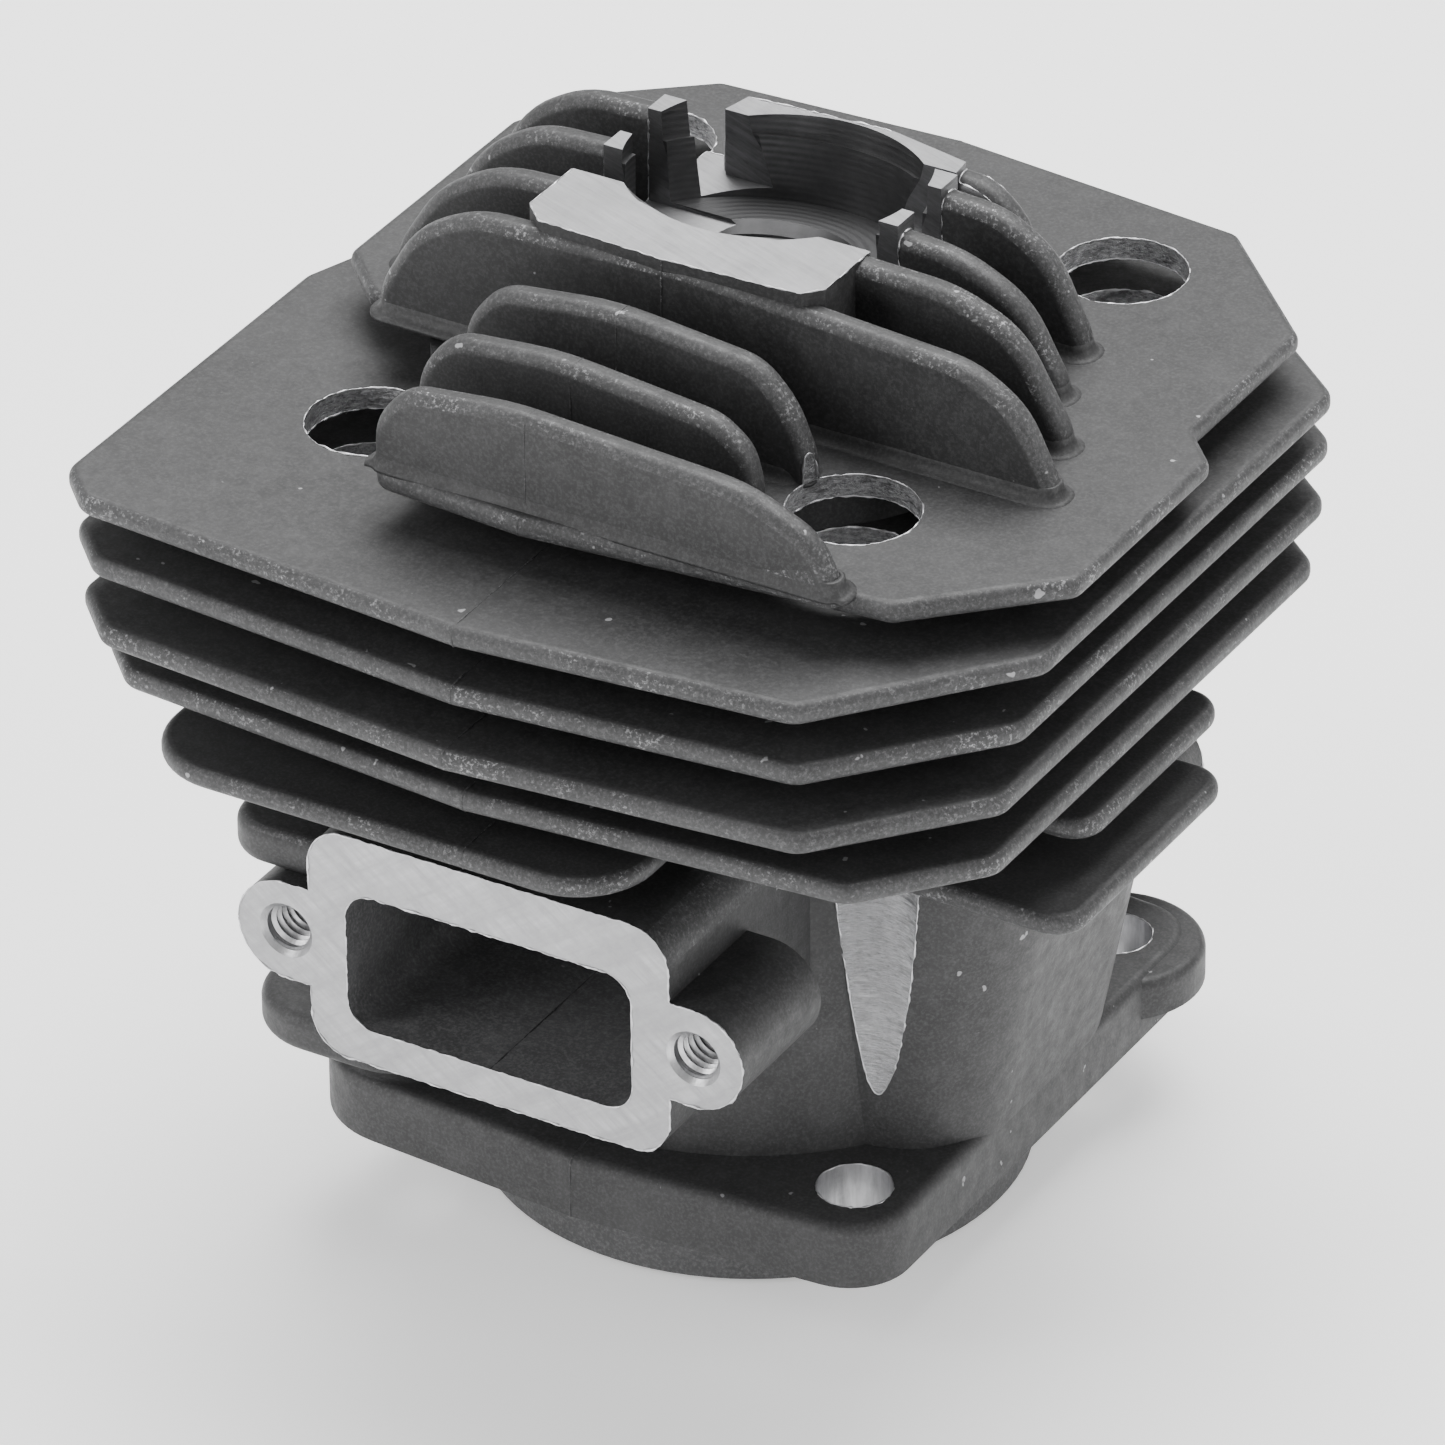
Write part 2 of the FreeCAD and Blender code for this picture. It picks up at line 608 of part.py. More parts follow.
# ------------------------------------------------------------------ hollows
tools = []
bore_radius = s.bore_diameter / 2.0 + s.plating_thickness
squish_level = s.crown_at_top + s.squish_gap
tools.append(cylinder("bore_hollow", bore_radius, squish_level + 1.0, 0.0, 0.0, -1.0))
tools.append(cone("bore_lead_in", bore_radius + 1.3, bore_radius, 2.6, 0.0, 0.0, -0.01))
bowl = doc.addObject("Part::Sphere", "bowl_hollow")
bowl_half = s.bowl_diameter / 2.0
bowl_radius = (bowl_half * bowl_half + s.bowl_depth * s.bowl_depth) / (s.bowl_depth * 2.0)
bind(bowl, "Radius", bowl_radius)
place(bowl, 0.0, 0.0, squish_level + s.bowl_depth - bowl_radius)
tools.append(bowl)

LEAN = FreeCAD.Rotation(FreeCAD.Vector(1, 0, 0), -s.well_tilt.value)
lean_y = math.sin(math.radians(s.well_tilt.value))
lean_z = math.cos(math.radians(s.well_tilt.value))


def on_axis(height):
    return (0.0, s.well_offset + height * lean_y, s.well_height + height * lean_z)


tools.append(cylinder("well_lower", s.well_radius - s.well_step, s.well_step_height - s.seat_height + 0.5,
                      *on_axis(s.seat_height), turn=LEAN))
tools.append(cylinder("well_upper", s.well_radius, 14.0, *on_axis(s.well_step_height), turn=LEAN))
tools.append(cylinder("plug_hollow", s.plug_minor / 2.0, 22.0, *on_axis(s.seat_height - 21.0), turn=LEAN))
tools.append(cone("plug_lead_in", s.plug_minor / 2.0, s.plug_minor / 2.0 + s.plug_chamfer, s.plug_chamfer,
                  *on_axis(s.seat_height - s.plug_chamfer + 0.01), turn=LEAN))

tools.append(box("top_cut", -s.boss_half, s.boss_half, row_four + 0.9, row_eight + 2.0, s.land_top,
                 s.land_top + 4.0))
for front, y in (("front", -s.bolt_half_y), ("rear", s.bolt_half_y)):
    for side, x in (("left", -s.bolt_half_x), ("right", s.bolt_half_x)):
        tag = front + "_" + side
        tools.append(cylinder("access_" + tag, s.access_hole / 2.0, 90.0, x, y, flange_top + s.access_land))
        tools.append(cylinder("bolt_hole_" + tag, s.bolt_hole / 2.0, 30.0, x, y, s.spigot_length - 1.0))

# exhaust and intake passages
for name, way, mid, half, height in (
        ("exhaust", -1.0, s.exhaust_port_mid, s.exhaust_port_half, s.exhaust_port_height),
        ("intake", 1.0, s.intake_port_mid, s.intake_port_half, s.intake_port_height)):
    reach = 60.0
    y0, y1 = (-reach, -12.0) if way < 0 else (12.0, reach)
    hollow = box(name + "_hollow", -half, half, y0, y1, mid - height / 2.0, mid + height / 2.0)
    runs = edges_where(hollow, lambda e: span(e, "y") > 5.0)
    tools.append(rounded(name + "_hollow_rounded", hollow, [(i, s.exhaust_port_corner) for i in runs]))
for name, way, face, mid, screw_x in (
        ("exhaust", -1.0, s.exhaust_face, s.exhaust_mid, s.exhaust_screw_x),
        ("intake", 1.0, s.intake_face, s.intake_mid, s.intake_screw_x)):
    for side, x in (("left", -screw_x), ("right", screw_x)):
        start = -face - 0.01 if way < 0 else face - s.screw_depth + 0.01
        tools.append(cylinder(name + "_screw_" + side, s.screw_minor / 2.0, s.screw_depth, x, start,
                              mid - 0.2, ALONG_Y))
        wide, narrow = s.screw_minor / 2.0 + s.screw_chamfer, s.screw_minor / 2.0
        if way < 0:
            tools.append(cone(name + "_screw_lead_" + side, wide, narrow, s.screw_chamfer, x, -face - 0.01,
                              mid - 0.2, ALONG_Y))
        else:
            tools.append(cone(name + "_screw_lead_" + side, narrow, wide, s.screw_chamfer, x,
                              face - s.screw_chamfer + 0.01, mid - 0.2, ALONG_Y))

# closed transfer channels: in at the foot window, up behind the bore wall, out at the top window
transfer_top = s.crown_at_top - s.stroke + s.transfer_height + 0.6
for side, way in (("left", -1.0), ("right", 1.0)):
    low, high = s.channel_foot, transfer_top
    outer_low = s.channel_out - s.channel_slope
    flat = [(s.channel_in, low), (outer_low, low), (s.channel_out, high), (s.channel_in, high)]
    if way < 0:
        flat = [(-x, z) for x, z in flat]
    channel = prism("channel_" + side, flat, 0.0, s.channel_half * 2.0,
                    turn=FreeCAD.Rotation(FreeCAD.Vector(1, 0, 0), 90),
                    offset=(0.0, -s.channel_half, 0.0))
    tools.append(channel)
    for stem, z0, tall in (("foot", low, s.window_foot),
                           ("head", transfer_top - s.transfer_height, s.transfer_height)):
        x0, x1 = (s.bore_diameter * 0.4, s.channel_in + 0.5)
        if way < 0:
            x0, x1 = -x1, -x0
        tools.append(box("window_" + stem + "_" + side, x0, x1, -s.channel_half, s.channel_half, z0, z0 + tall))

hollows = fuse("hollows", tools)
casting = cut("cylinder_casting", raw, hollows)

# -------------------------------------------------------------- bore plating
plating_tube = cut("plating_tube",
                   cylinder("plating_outside", bore_radius, squish_level - 3.4, 0.0, 0.0, 3.2),
                   cylinder("plating_inside", s.bore_diameter / 2.0, squish_level + 4.0, 0.0, 0.0, -1.0))
window_tools = []
for name, way, mid, half, height in (
        ("exhaust", -1.0, s.exhaust_port_mid, s.exhaust_port_half, s.exhaust_port_height),
        ("intake", 1.0, s.intake_port_mid, s.intake_port_half, s.intake_port_height)):
    y0, y1 = (-30.0, -12.0) if way < 0 else (12.0, 30.0)
    opening = box(name + "_window", -half, half, y0, y1, mid - height / 2.0, mid + height / 2.0)
    runs = edges_where(opening, lambda e: span(e, "y") > 5.0)
    window_tools.append(rounded(name + "_window_rounded", opening, [(i, s.exhaust_port_corner) for i in runs]))
for side, way in (("left", -1.0), ("right", 1.0)):
    for stem, z0, tall in (("foot", s.channel_foot, s.window_foot),
                           ("head", transfer_top - s.transfer_height, s.transfer_height)):
        x0, x1 = (s.bore_diameter * 0.4, s.channel_in + 0.5)
        if way < 0:
            x0, x1 = -x1, -x0
        window_tools.append(box("plating_" + stem + "_" + side, x0, x1, -s.channel_half, s.channel_half,
                                z0, z0 + tall))
plating = cut("bore_plating", plating_tube, fuse("plating_windows", window_tools))

# -------------------------------------------------------------------- piston
crown = s.crown_at_top
piston_radius = s.bore_diameter / 2.0 - s.running_clearance
skirt_foot = crown - s.piston_height
pin_level = crown - s.pin_below_crown
blank = cylinder("piston_blank", piston_radius, s.piston_height, 0.0, 0.0, skirt_foot)
crown_edge = edges_where(blank, lambda e: level(e, "Z", crown.value))
blank_rounded = rounded("piston_blank_rounded", blank, [(i, s.crown_edge) for i in crown_edge])
inside = cylinder("piston_inside", piston_radius - s.piston_wall, s.piston_height - s.crown_thickness,
                  0.0, 0.0, skirt_foot - 0.01)
roof = edges_where(inside, lambda e: level(e, "Z", (crown - s.crown_thickness).value - 0.01, 0.02))
inside_rounded = rounded("piston_inside_rounded", inside, [(i, 3.0) for i in roof])
shell = cut("piston_shell", blank_rounded, inside_rounded)
boss_parts = []
for side, x0, x1 in (("left", -(piston_radius - 1.2), -s.boss_gap / 2.0),
                     ("right", s.boss_gap / 2.0, piston_radius - 1.2)):
    boss_parts.append(cylinder("pin_boss_" + side, s.pin_boss / 2.0,
                               (x1 - x0), x0, 0.0, pin_level, ALONG_X))
    boss_parts.append(box("pin_boss_web_" + side, x0, x1, -s.pin_boss / 2.0 + 1.0, s.pin_boss / 2.0 - 1.0,
                          pin_level, crown - s.crown_thickness + 0.5))
within = cylinder("piston_within", piston_radius - 0.8, s.piston_height - 1.0, 0.0, 0.0, skirt_foot)
bosses_raw = fuse("pin_bosses_raw", boss_parts)
bosses = doc.addObject("Part::MultiCommon", "pin_bosses")
bosses.Shapes = [bosses_raw, within]
doc.recompute()
piston_solid = fuse("piston_solid", [shell, bosses])
piston_tools = [cylinder("pin_bore_hollow", s.pin_diameter / 2.0 + s.pin_clearance, s.bore_diameter + 4.0,
                         -(s.bore_diameter / 2.0 + 2.0), 0.0, pin_level, ALONG_X)]
groove_floor = piston_radius - s.ring_depth - s.ring_back_clearance
for name, down in (("top", s.top_ring_down), ("lower", s.lower_ring_down)):
    tall = s.ring_height + s.ring_side_clearance * 2.0
    level_z = crown - down - s.ring_side_clearance
    piston_tools.append(cut(name + "_groove",
                            cylinder(name + "_groove_outside", piston_radius + 1.0, tall, 0.0, 0.0, level_z),
                            cylinder(name + "_groove_inside", groove_floor, tall + 2.0, 0.0, 0.0, level_z - 1.0)))
for side, way in (("left", -1.0), ("right", 1.0)):
    x0, x1 = s.pin_length / 2.0 + 2.4, s.bore_diameter
    if way < 0:
        x0, x1 = -x1, -x0
    piston_tools.append(box("skirt_flat_" + side, x0, x1, -(s.skirt_window_half + 3.0),
                            s.skirt_window_half + 3.0, skirt_foot - 1.0, pin_level + s.pin_boss / 2.0 - 1.0))
    x0, x1 = s.bore_diameter * 0.30, s.bore_diameter
    if way < 0:
        x0, x1 = -x1, -x0
    piston_tools.append(box("skirt_window_" + side, x0, x1, -s.skirt_window_half, s.skirt_window_half,
                            skirt_foot - 1.0, skirt_foot + s.skirt_window_height - 5.0))
clip_level = s.pin_length / 2.0 + 0.05
for side, x in (("left", -(clip_level + s.clip_wire + 0.1)), ("right", clip_level - 0.05)):
    piston_tools.append(cylinder("clip_groove_" + side, s.pin_diameter / 2.0 + s.clip_reach + 0.02,
                                 s.clip_wire + 0.15, x, 0.0, pin_level, ALONG_X))
pin_seats = []
for name, down in (("top", s.top_ring_down), ("lower", s.lower_ring_down)):
    way = 1.0 if name == "top" else -1.0
    pin_seats.append((name, s.pin_offset * way, crown - down + s.ring_height / 2.0))
    seat = cylinder(name + "_pin_seat", s.locating_pin / 2.0, s.locating_pin_length, s.pin_offset * way,
                    groove_floor - s.locating_pin_sunk, crown - down + s.ring_height / 2.0, ALONG_Y)
    piston_tools.append(seat)
piston = cut("piston", piston_solid, fuse("piston_hollows", piston_tools))

# --------------------------------------------------------------------- rings
ring_radius = s.bore_diameter / 2.0 - s.ring_end_clearance
for name, down in (("top", s.top_ring_down), ("lower", s.lower_ring_down)):
    way = 1.0 if name == "top" else -1.0
    z0 = crown - down
    hoop = cut(name + "_hoop",
               cylinder(name + "_hoop_outside", ring_radius, s.ring_height, 0.0, 0.0, z0),
               cylinder(name + "_hoop_inside", piston_radius - s.ring_depth, s.ring_height + 2.0, 0.0, 0.0,
                        z0 - 1.0))
    half_gap = s.locating_pin / 2.0 + s.ring_gap / 2.0
    gap = box(name + "_gap", -half_gap + s.pin_offset * way, half_gap + s.pin_offset * way,
              s.bore_diameter * 0.3, s.bore_diameter, z0 - 1.0, z0 + s.ring_height + 1.0)
    cut(name + "_ring", hoop, gap)

# ------------------------------------------------- pins that hold the rings
locating = [cylinder(name + "_locating_pin", s.locating_pin / 2.0, s.locating_pin_length,
                     x, groove_floor - s.locating_pin_sunk, z, ALONG_Y)
            for name, x, z in pin_seats]
fuse("ring_locating_pins", locating)

# ------------------------------------------------------------- gudgeon pin
pin_outside = cylinder("pin_outside", s.pin_diameter / 2.0, s.pin_length, -(s.pin_length / 2.0), 0.0,
                       pin_level, ALONG_X)
pin_ends = edges_where(pin_outside, lambda e: len(e.Vertexes) == 1)
pin_rounded = rounded("pin_rounded", pin_outside, [(i, 0.4) for i in pin_ends])
cut("gudgeon_pin", pin_rounded, cylinder("pin_inside", s.pin_bore / 2.0, s.pin_length + 2.0,
                                         -(s.pin_length / 2.0 + 1.0), 0.0, pin_level, ALONG_X))

# ------------------------------------------------------------ wire circlips
for side, way in (("left", -1.0), ("right", 1.0)):
    middle = (clip_level + s.clip_wire / 2.0) * way
    hoop_radius = s.pin_diameter / 2.0 + s.clip_reach - s.clip_wire / 2.0
    wire = doc.addObject("Part::Torus", "circlip_wire_" + side)
    bind(wire, "Radius1", hoop_radius)
    bind(wire, "Radius2", s.clip_wire / 2.0)
    wire.Placement = FreeCAD.Placement(FreeCAD.Vector(), ALONG_X)
    place(wire, middle, 0.0, pin_level)
    opening = box("circlip_opening_" + side, middle - 2.0, middle + 2.0, -2.2, 2.2,
                  pin_level - s.pin_diameter, pin_level - 2.0)
    cut("circlip_" + side, wire, opening)

# ------------------------------------------------------------------- output
NODES = ["cylinder_casting", "bore_plating", "piston", "top_ring", "lower_ring", "ring_locating_pins",
         "gudgeon_pin", "circlip_left", "circlip_right"]
doc.recompute()
for obj in doc.Objects:
    bad = [word for word in obj.State if word in ("Invalid", "Error")]
    if bad:
        raise RuntimeError(obj.Name + " did not rebuild: " + ", ".join(bad))
    if hasattr(obj, "Shape") and not obj.isDerivedFrom("Sketcher::SketchObject"):
        if obj.Shape.isNull() or not obj.Shape.isValid():
            raise RuntimeError(obj.Name + " has no sound shape")
os.makedirs("parts", exist_ok=True)
for name in NODES:
    obj = doc.getObject(name)
    obj.Label = name
    obj.Shape.exportStep("parts/" + name + ".step")
    bounds = obj.Shape.BoundBox
    print(name, "solids", len(obj.Shape.Solids), "volume", round(obj.Shape.Volume, 2),
          "x", round(bounds.XMin, 2), round(bounds.XMax, 2), "y", round(bounds.YMin, 2), round(bounds.YMax, 2),
          "z", round(bounds.ZMin, 2), round(bounds.ZMax, 2))
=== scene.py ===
# %% [markdown]
# # A finned two-stroke cylinder in black coat and bare metal
# This notebook dresses a imported CAD model. The CAD gives every shape and size; the cells
# below add the looks: a black coat with worn edges, milled faces, screw threads, ragged
# burrs round the drilled holes, and the casting's parting seam.
# The first cell loads the frame.

# %% Load the CAD frame
import json
import math

import bpy
import bmesh
from mathutils import Matrix, Vector, noise


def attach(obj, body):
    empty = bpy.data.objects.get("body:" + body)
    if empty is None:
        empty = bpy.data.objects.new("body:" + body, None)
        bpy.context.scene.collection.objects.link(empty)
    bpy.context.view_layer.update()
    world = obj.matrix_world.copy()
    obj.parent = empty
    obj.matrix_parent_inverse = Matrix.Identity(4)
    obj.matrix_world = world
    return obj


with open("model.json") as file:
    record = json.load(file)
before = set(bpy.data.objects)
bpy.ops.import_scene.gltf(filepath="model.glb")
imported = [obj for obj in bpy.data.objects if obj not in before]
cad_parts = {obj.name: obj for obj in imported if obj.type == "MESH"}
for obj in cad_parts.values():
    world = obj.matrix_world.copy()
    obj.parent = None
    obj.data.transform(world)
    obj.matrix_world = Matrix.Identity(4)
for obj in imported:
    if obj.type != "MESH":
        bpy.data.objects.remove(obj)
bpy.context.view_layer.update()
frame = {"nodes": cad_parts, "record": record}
print("nodes", sorted(frame["nodes"]))
casting = frame["nodes"]["cylinder_casting"]
mounts = {m["name"]: m for m in frame["record"]["mounts"]}
MM = 0.001

# %% [markdown]
# ## Small helpers for shader nodes
# A material is a tree of nodes. `Tree` wraps the few calls we use again and again:
# `add` makes a node and fills its sockets, `link` joins an output to an input. All textures
# read Object coordinates, which are metres here, so a noise scale of 1000 has 1 mm grains.


# %% Shader helpers
class Tree:
    """A material's node tree, with its object coordinates ready to use."""

    def __init__(self, name):
        self.material = bpy.data.materials.new(name)
        self.material.use_nodes = True
        self.nodes = self.material.node_tree.nodes
        self.nodes.clear()
        self.out = self.nodes.new("ShaderNodeOutputMaterial")
        self.shader = self.nodes.new("ShaderNodeBsdfPrincipled")
        self.link(self.shader.outputs[0], self.out.inputs["Surface"])
        self.place = self.nodes.new("ShaderNodeTexCoord").outputs["Object"]

    def link(self, start, end):
        self.material.node_tree.links.new(start, end)

    def add(self, kind, **values):
        node = self.nodes.new("ShaderNode" + kind)
        for key, value in values.items():
            if hasattr(node, key):
                setattr(node, key, value)
            else:
                node.inputs[key].default_value = value
        return node

    def noise(self, scale, detail=4.0, rough=0.55, stretch=(1, 1, 1)):
        mapping = self.add("Mapping")
        mapping.inputs["Scale"].default_value = stretch
        self.link(self.place, mapping.inputs["Vector"])
        node = self.add("TexNoise", Scale=scale, Detail=detail, Roughness=rough)
        self.link(mapping.outputs[0], node.inputs["Vector"])
        return node.outputs["Fac"]

    def spread(self, source, low, high, to_low=0.0, to_high=1.0):
        node = self.add("MapRange")
        for index, value in enumerate((low, high, to_low, to_high)):
            node.inputs[index + 1].default_value = value
        self.link(source, node.inputs[0])
        return node.outputs[0]

    def maths(self, operation, first, second):
        node = self.add("Math", operation=operation)
        for socket, item in zip(node.inputs, (first, second)):
            if isinstance(item, (int, float)):
                socket.default_value = item
            else:
                self.link(item, socket)
        return node.outputs[0]

    def blend(self, factor, first, second):
        node = self.add("MixRGB")
        self.link(factor, node.inputs[0])
        for socket, item in zip(node.inputs[1:], (first, second)):
            if isinstance(item, tuple):
                socket.default_value = item + (1.0,)
            else:
                self.link(item, socket)
        return node.outputs[0]

    def bump(self, source, depth_mm, strength=1.0, before=None):
        node = self.add("Bump", Strength=strength, Distance=depth_mm * MM)
        self.link(source, node.inputs["Height"])
        if before is not None:
            self.link(before, node.inputs["Normal"])
        return node.outputs[0]

    def finish(self, colour, rough, normal=None, metallic=0.0, shine=0.5):
        for name, item in (("Base Color", colour), ("Roughness", rough)):
            socket = self.shader.inputs[name]
            if isinstance(item, tuple):
                socket.default_value = item + (1.0,)
            elif isinstance(item, (int, float)):
                socket.default_value = item
            else:
                self.link(item, socket)
        if isinstance(metallic, (int, float)):
            self.shader.inputs["Metallic"].default_value = metallic
        else:
            self.link(metallic, self.shader.inputs["Metallic"])
        self.shader.inputs["Specular IOR Level"].default_value = shine
        if normal is not None:
            self.link(normal, self.shader.inputs["Normal"])
        return self.material


def grey(value):
    return (value, value, value * 1.02)


# %% [markdown]
# ## The black coat
# Sprayed coating on a die casting is dark grey rather than black. It has slow cloudy patches,
# a fine grain that catches the light, and small scuffs. `wear` sets how much bare metal
# shows: little on broad faces, more on the fins' edges, where parts knock together.
# Two copies are lighter: the fins' sides and edges carry a painted sheen on top of their wear, and the ducts a much
# lighter coat, painted light where little lamp light reaches.


# %% Coat materials
def coat(name, wear, tone=1.0, pits=0.35):
    """Dark coat; wear is how much bare metal shows, tone its lightness, pits its roughness."""
    t = Tree(name)
    cloud = t.spread(t.noise(45.0, 6.0, 0.6), 0.3, 0.7)
    base = t.blend(cloud, grey(0.019 * tone), grey(0.034 * tone))
    smear = t.spread(t.noise(260.0, 5.0, 0.65), 0.5, 0.8)
    base = t.blend(t.maths("MULTIPLY", smear, 0.45), base, grey(0.058 * tone))
    grain = t.noise(3400.0, 4.0, 0.65)
    base = t.blend(t.spread(grain, 0.45, 0.75, 0.0, 0.55), base, grey(0.085 * tone))
    patch = t.spread(t.noise(170.0, 4.0, 0.6), 0.50, 0.70)
    fine = t.spread(t.noise(2900.0, 5.0, 0.75), 0.66 - wear * 0.18, 0.74 - wear * 0.16)
    worn = t.maths("MULTIPLY", fine, t.maths("ADD", patch, wear * 0.30))
    worn = t.spread(worn, 0.0, 1.0, 0.0, 0.30 + wear * 0.6)
    chip = t.spread(t.noise(620.0, 2.0, 0.5), 0.755 - wear * 0.03, 0.775 - wear * 0.03)
    bare = t.maths("MAXIMUM", worn, t.maths("MULTIPLY", chip, 0.75))
    colour = t.blend(bare, base, grey(0.38))
    rough = t.spread(t.noise(700.0, 3.0), 0.3, 0.7, 0.46, 0.64)
    normal = t.bump(grain, 0.04, 0.5)
    normal = t.bump(t.noise(520.0, 4.0), 0.09, pits, normal)
    return t.finish(colour, rough, normal, t.maths("MULTIPLY", bare, 0.8), 0.42)


COAT = coat("coated_casting", 0.05)
# fins' sides and edges: more real wear, and a 1.25 times lighter tone that is a painted sheen
COAT_EDGE_WEAR_AND_SHEEN = coat("coated_edge_wear_and_sheen", 0.70, 1.25, 0.7)
COAT_ROUGH = coat("coated_rough", 0.15, 1.0, 0.9)
# ducts: coat 2.6 times lighter, painted light standing in for the light that reaches little into the ports
COAT_PORT_PAINTED_LIGHT = coat("coated_port_painted_light", 0.20, 2.6, 1.0)
COAT_SPIGOT = coat("coated_spigot", 0.30, 1.9, 0.3)
print("coat finishes", [m.name for m in (COAT, COAT_EDGE_WEAR_AND_SHEEN, COAT_ROUGH, COAT_PORT_PAINTED_LIGHT, COAT_SPIGOT)])

# %% [markdown]
# ## Bare metal
# A milling cutter leaves fine scratches, a turning tool leaves rings, a hone leaves crossed
# lines, and a drill that breaks out sideways tears the metal. Rings and lines come from
# wave textures, scratches and tears from noise squeezed along one direction. All of them
# read Object coordinates and drive colour, roughness and bump together.


# %% Metal materials
def rings(t, centre, axis_turn, pitch_mm, wobble=1.5):
    """Rings round an axis through centre: turned or fly-cut marks."""
    mapping = t.add("Mapping", vector_type="TEXTURE")
    mapping.inputs["Location"].default_value = centre
    mapping.inputs["Rotation"].default_value = axis_turn
    t.link(t.place, mapping.inputs["Vector"])
    wave = t.add("TexWave", wave_type="RINGS", rings_direction="Z", Scale=0.5 / (pitch_mm * MM) / math.pi,
                 Distortion=wobble, Detail=3.0)
    wave.inputs["Detail Scale"].default_value = 1.5
    t.link(mapping.outputs[0], wave.inputs["Vector"])
    return wave.outputs["Fac"]


def bands(t, direction, pitch_mm, wobble=2.0, turn=(0, 0, 0)):
    """Straight tool marks across one direction."""
    mapping = t.add("Mapping")
    mapping.inputs["Rotation"].default_value = turn
    t.link(t.place, mapping.inputs["Vector"])
    wave = t.add("TexWave", wave_type="BANDS", bands_direction=direction,
                 Scale=0.5 / (pitch_mm * MM) / math.pi, Distortion=wobble, Detail=3.0)
    t.link(mapping.outputs[0], wave.inputs["Vector"])
    return wave.outputs["Fac"]


def metal(name, marks, low, high, rough=(0.28, 0.5), depth=0.02, dirt=0.25, shine=1.0):
    """Bare metal whose tool marks come from marks(tree)."""
    t = Tree(name)
    lines = marks(t)
    cloud = t.spread(t.noise(180.0, 5.0, 0.65), 0.35, 0.7)
    scratch = t.spread(t.noise(900.0, 5.0, 0.8, (1.0, 0.12, 1.0)), 0.35, 0.7)
    base = t.blend(lines, grey(low), grey(high))
    base = t.blend(t.maths("MULTIPLY", scratch, 0.35), base, grey(high * 1.1))
    base = t.blend(t.maths("MULTIPLY", cloud, dirt), base, grey(low * 0.7))
    roughness = t.spread(lines, 0.0, 1.0, rough[1], rough[0])
    normal = t.bump(lines, depth, 0.7)
    normal = t.bump(t.noise(1400.0, 4.0, 0.7), 0.015, 0.5, normal)
    return t.finish(base, roughness, normal, shine, 0.5)


def scratches(t, turn, scale, thin=0.06):
    """Random fine scratches along one direction: noise squeezed across it."""
    mapping = t.add("Mapping", vector_type="TEXTURE")
    mapping.inputs["Rotation"].default_value = turn
    mapping.inputs["Scale"].default_value = (1.0, 1.0, thin)
    t.link(t.place, mapping.inputs["Vector"])
    node = t.add("TexNoise", Scale=scale, Detail=5.0, Roughness=0.7)
    t.link(mapping.outputs[0], node.inputs["Vector"])
    return t.spread(node.outputs["Fac"], 0.36, 0.64)


def torn(t, squeeze, scale=210.0):
    """Chatter across a broken-out drilled wall: fine steps, with dark ragged tears."""
    steps = t.spread(t.noise(scale * 6, 5.0, 0.75, (1.0, 1.0, squeeze)), 0.32, 0.68)
    tears = t.spread(t.noise(scale, 5.0, 0.7, (1.0, 1.0, squeeze * 1.4)), 0.38, 0.50, 0.10, 1.0)
    return t.maths("MULTIPLY", steps, tears)


port = mounts["exhaust_face"]["pos_m"]
MILLED_PORT = metal("milled_port", lambda t: t.maths("MULTIPLY", scratches(t, (0.0, math.radians(38), 0.0), 90.0),
                                                     scratches(t, (0.0, math.radians(-35), 0.0), 60.0, 0.09)),
                    0.36, 0.48, (0.42, 0.55), 0.006, 0.14)
MILLED_TOP = metal("milled_top", lambda t: scratches(t, (0.0, math.radians(90), math.radians(70)), 110.0, 0.09),
                   0.24, 0.38, (0.40, 0.55), 0.008, 0.25)
CUT_WALL = metal("cut_wall", lambda t: scratches(t, (0.0, math.radians(20), 0.0), 130.0, 0.12), 0.13, 0.30,
                 (0.36, 0.5), 0.012, 0.4)
PLUG_HOLE = metal("plug_hole", lambda t: t.noise(600.0, 4.0), 0.05, 0.12, (0.32, 0.5), 0.01, 0.4)
WELL_FLOOR = metal("well_floor", lambda t: rings(t, (0.0, 0.0046, 0.09), (0.0, 0.0, 0.0), 0.45, 1.0),
                   0.085, 0.125, (0.40, 0.55), 0.008, 0.3)
TURNED_WELL = metal("turned_well", lambda t: t.maths("MULTIPLY", bands(t, "Z", 0.30, 0.5, (math.radians(11), 0, 0)),
                                                     t.spread(t.noise(160.0, 4.0, 0.6, (1, 1, 4)), 0.3, 0.7)),
                    0.085, 0.165, (0.3, 0.48), 0.012, 0.35)
DRILLED = metal("drilled_hole", lambda t: scratches(t, (0.0, 0.0, 0.0), 700.0, 6.0), 0.34, 0.62,
                (0.3, 0.45), 0.02, 0.25)
GOUGE = metal("gouged_wall", lambda t: torn(t, 5.0), 0.24, 1.0, (0.32, 0.6), 0.22, 0.12)
TORN_HOLE = metal("torn_hole", lambda t: torn(t, 2.0, 320.0), 0.10, 0.70, (0.32, 0.6), 0.25, 0.35)
HONED = metal("plating", lambda t: t.maths("MULTIPLY", bands(t, "Z", 0.35, 1.5, (0.0, 0.6, 0.6)),
                                           bands(t, "Z", 0.35, 1.5, (0.0, -0.6, -0.6))),
              0.42, 0.62, (0.2, 0.38), 0.006, 0.1)
PISTON = metal("piston_alloy", lambda t: bands(t, "Z", 0.25, 0.6), 0.50, 0.66, (0.3, 0.45), 0.02, 0.3)
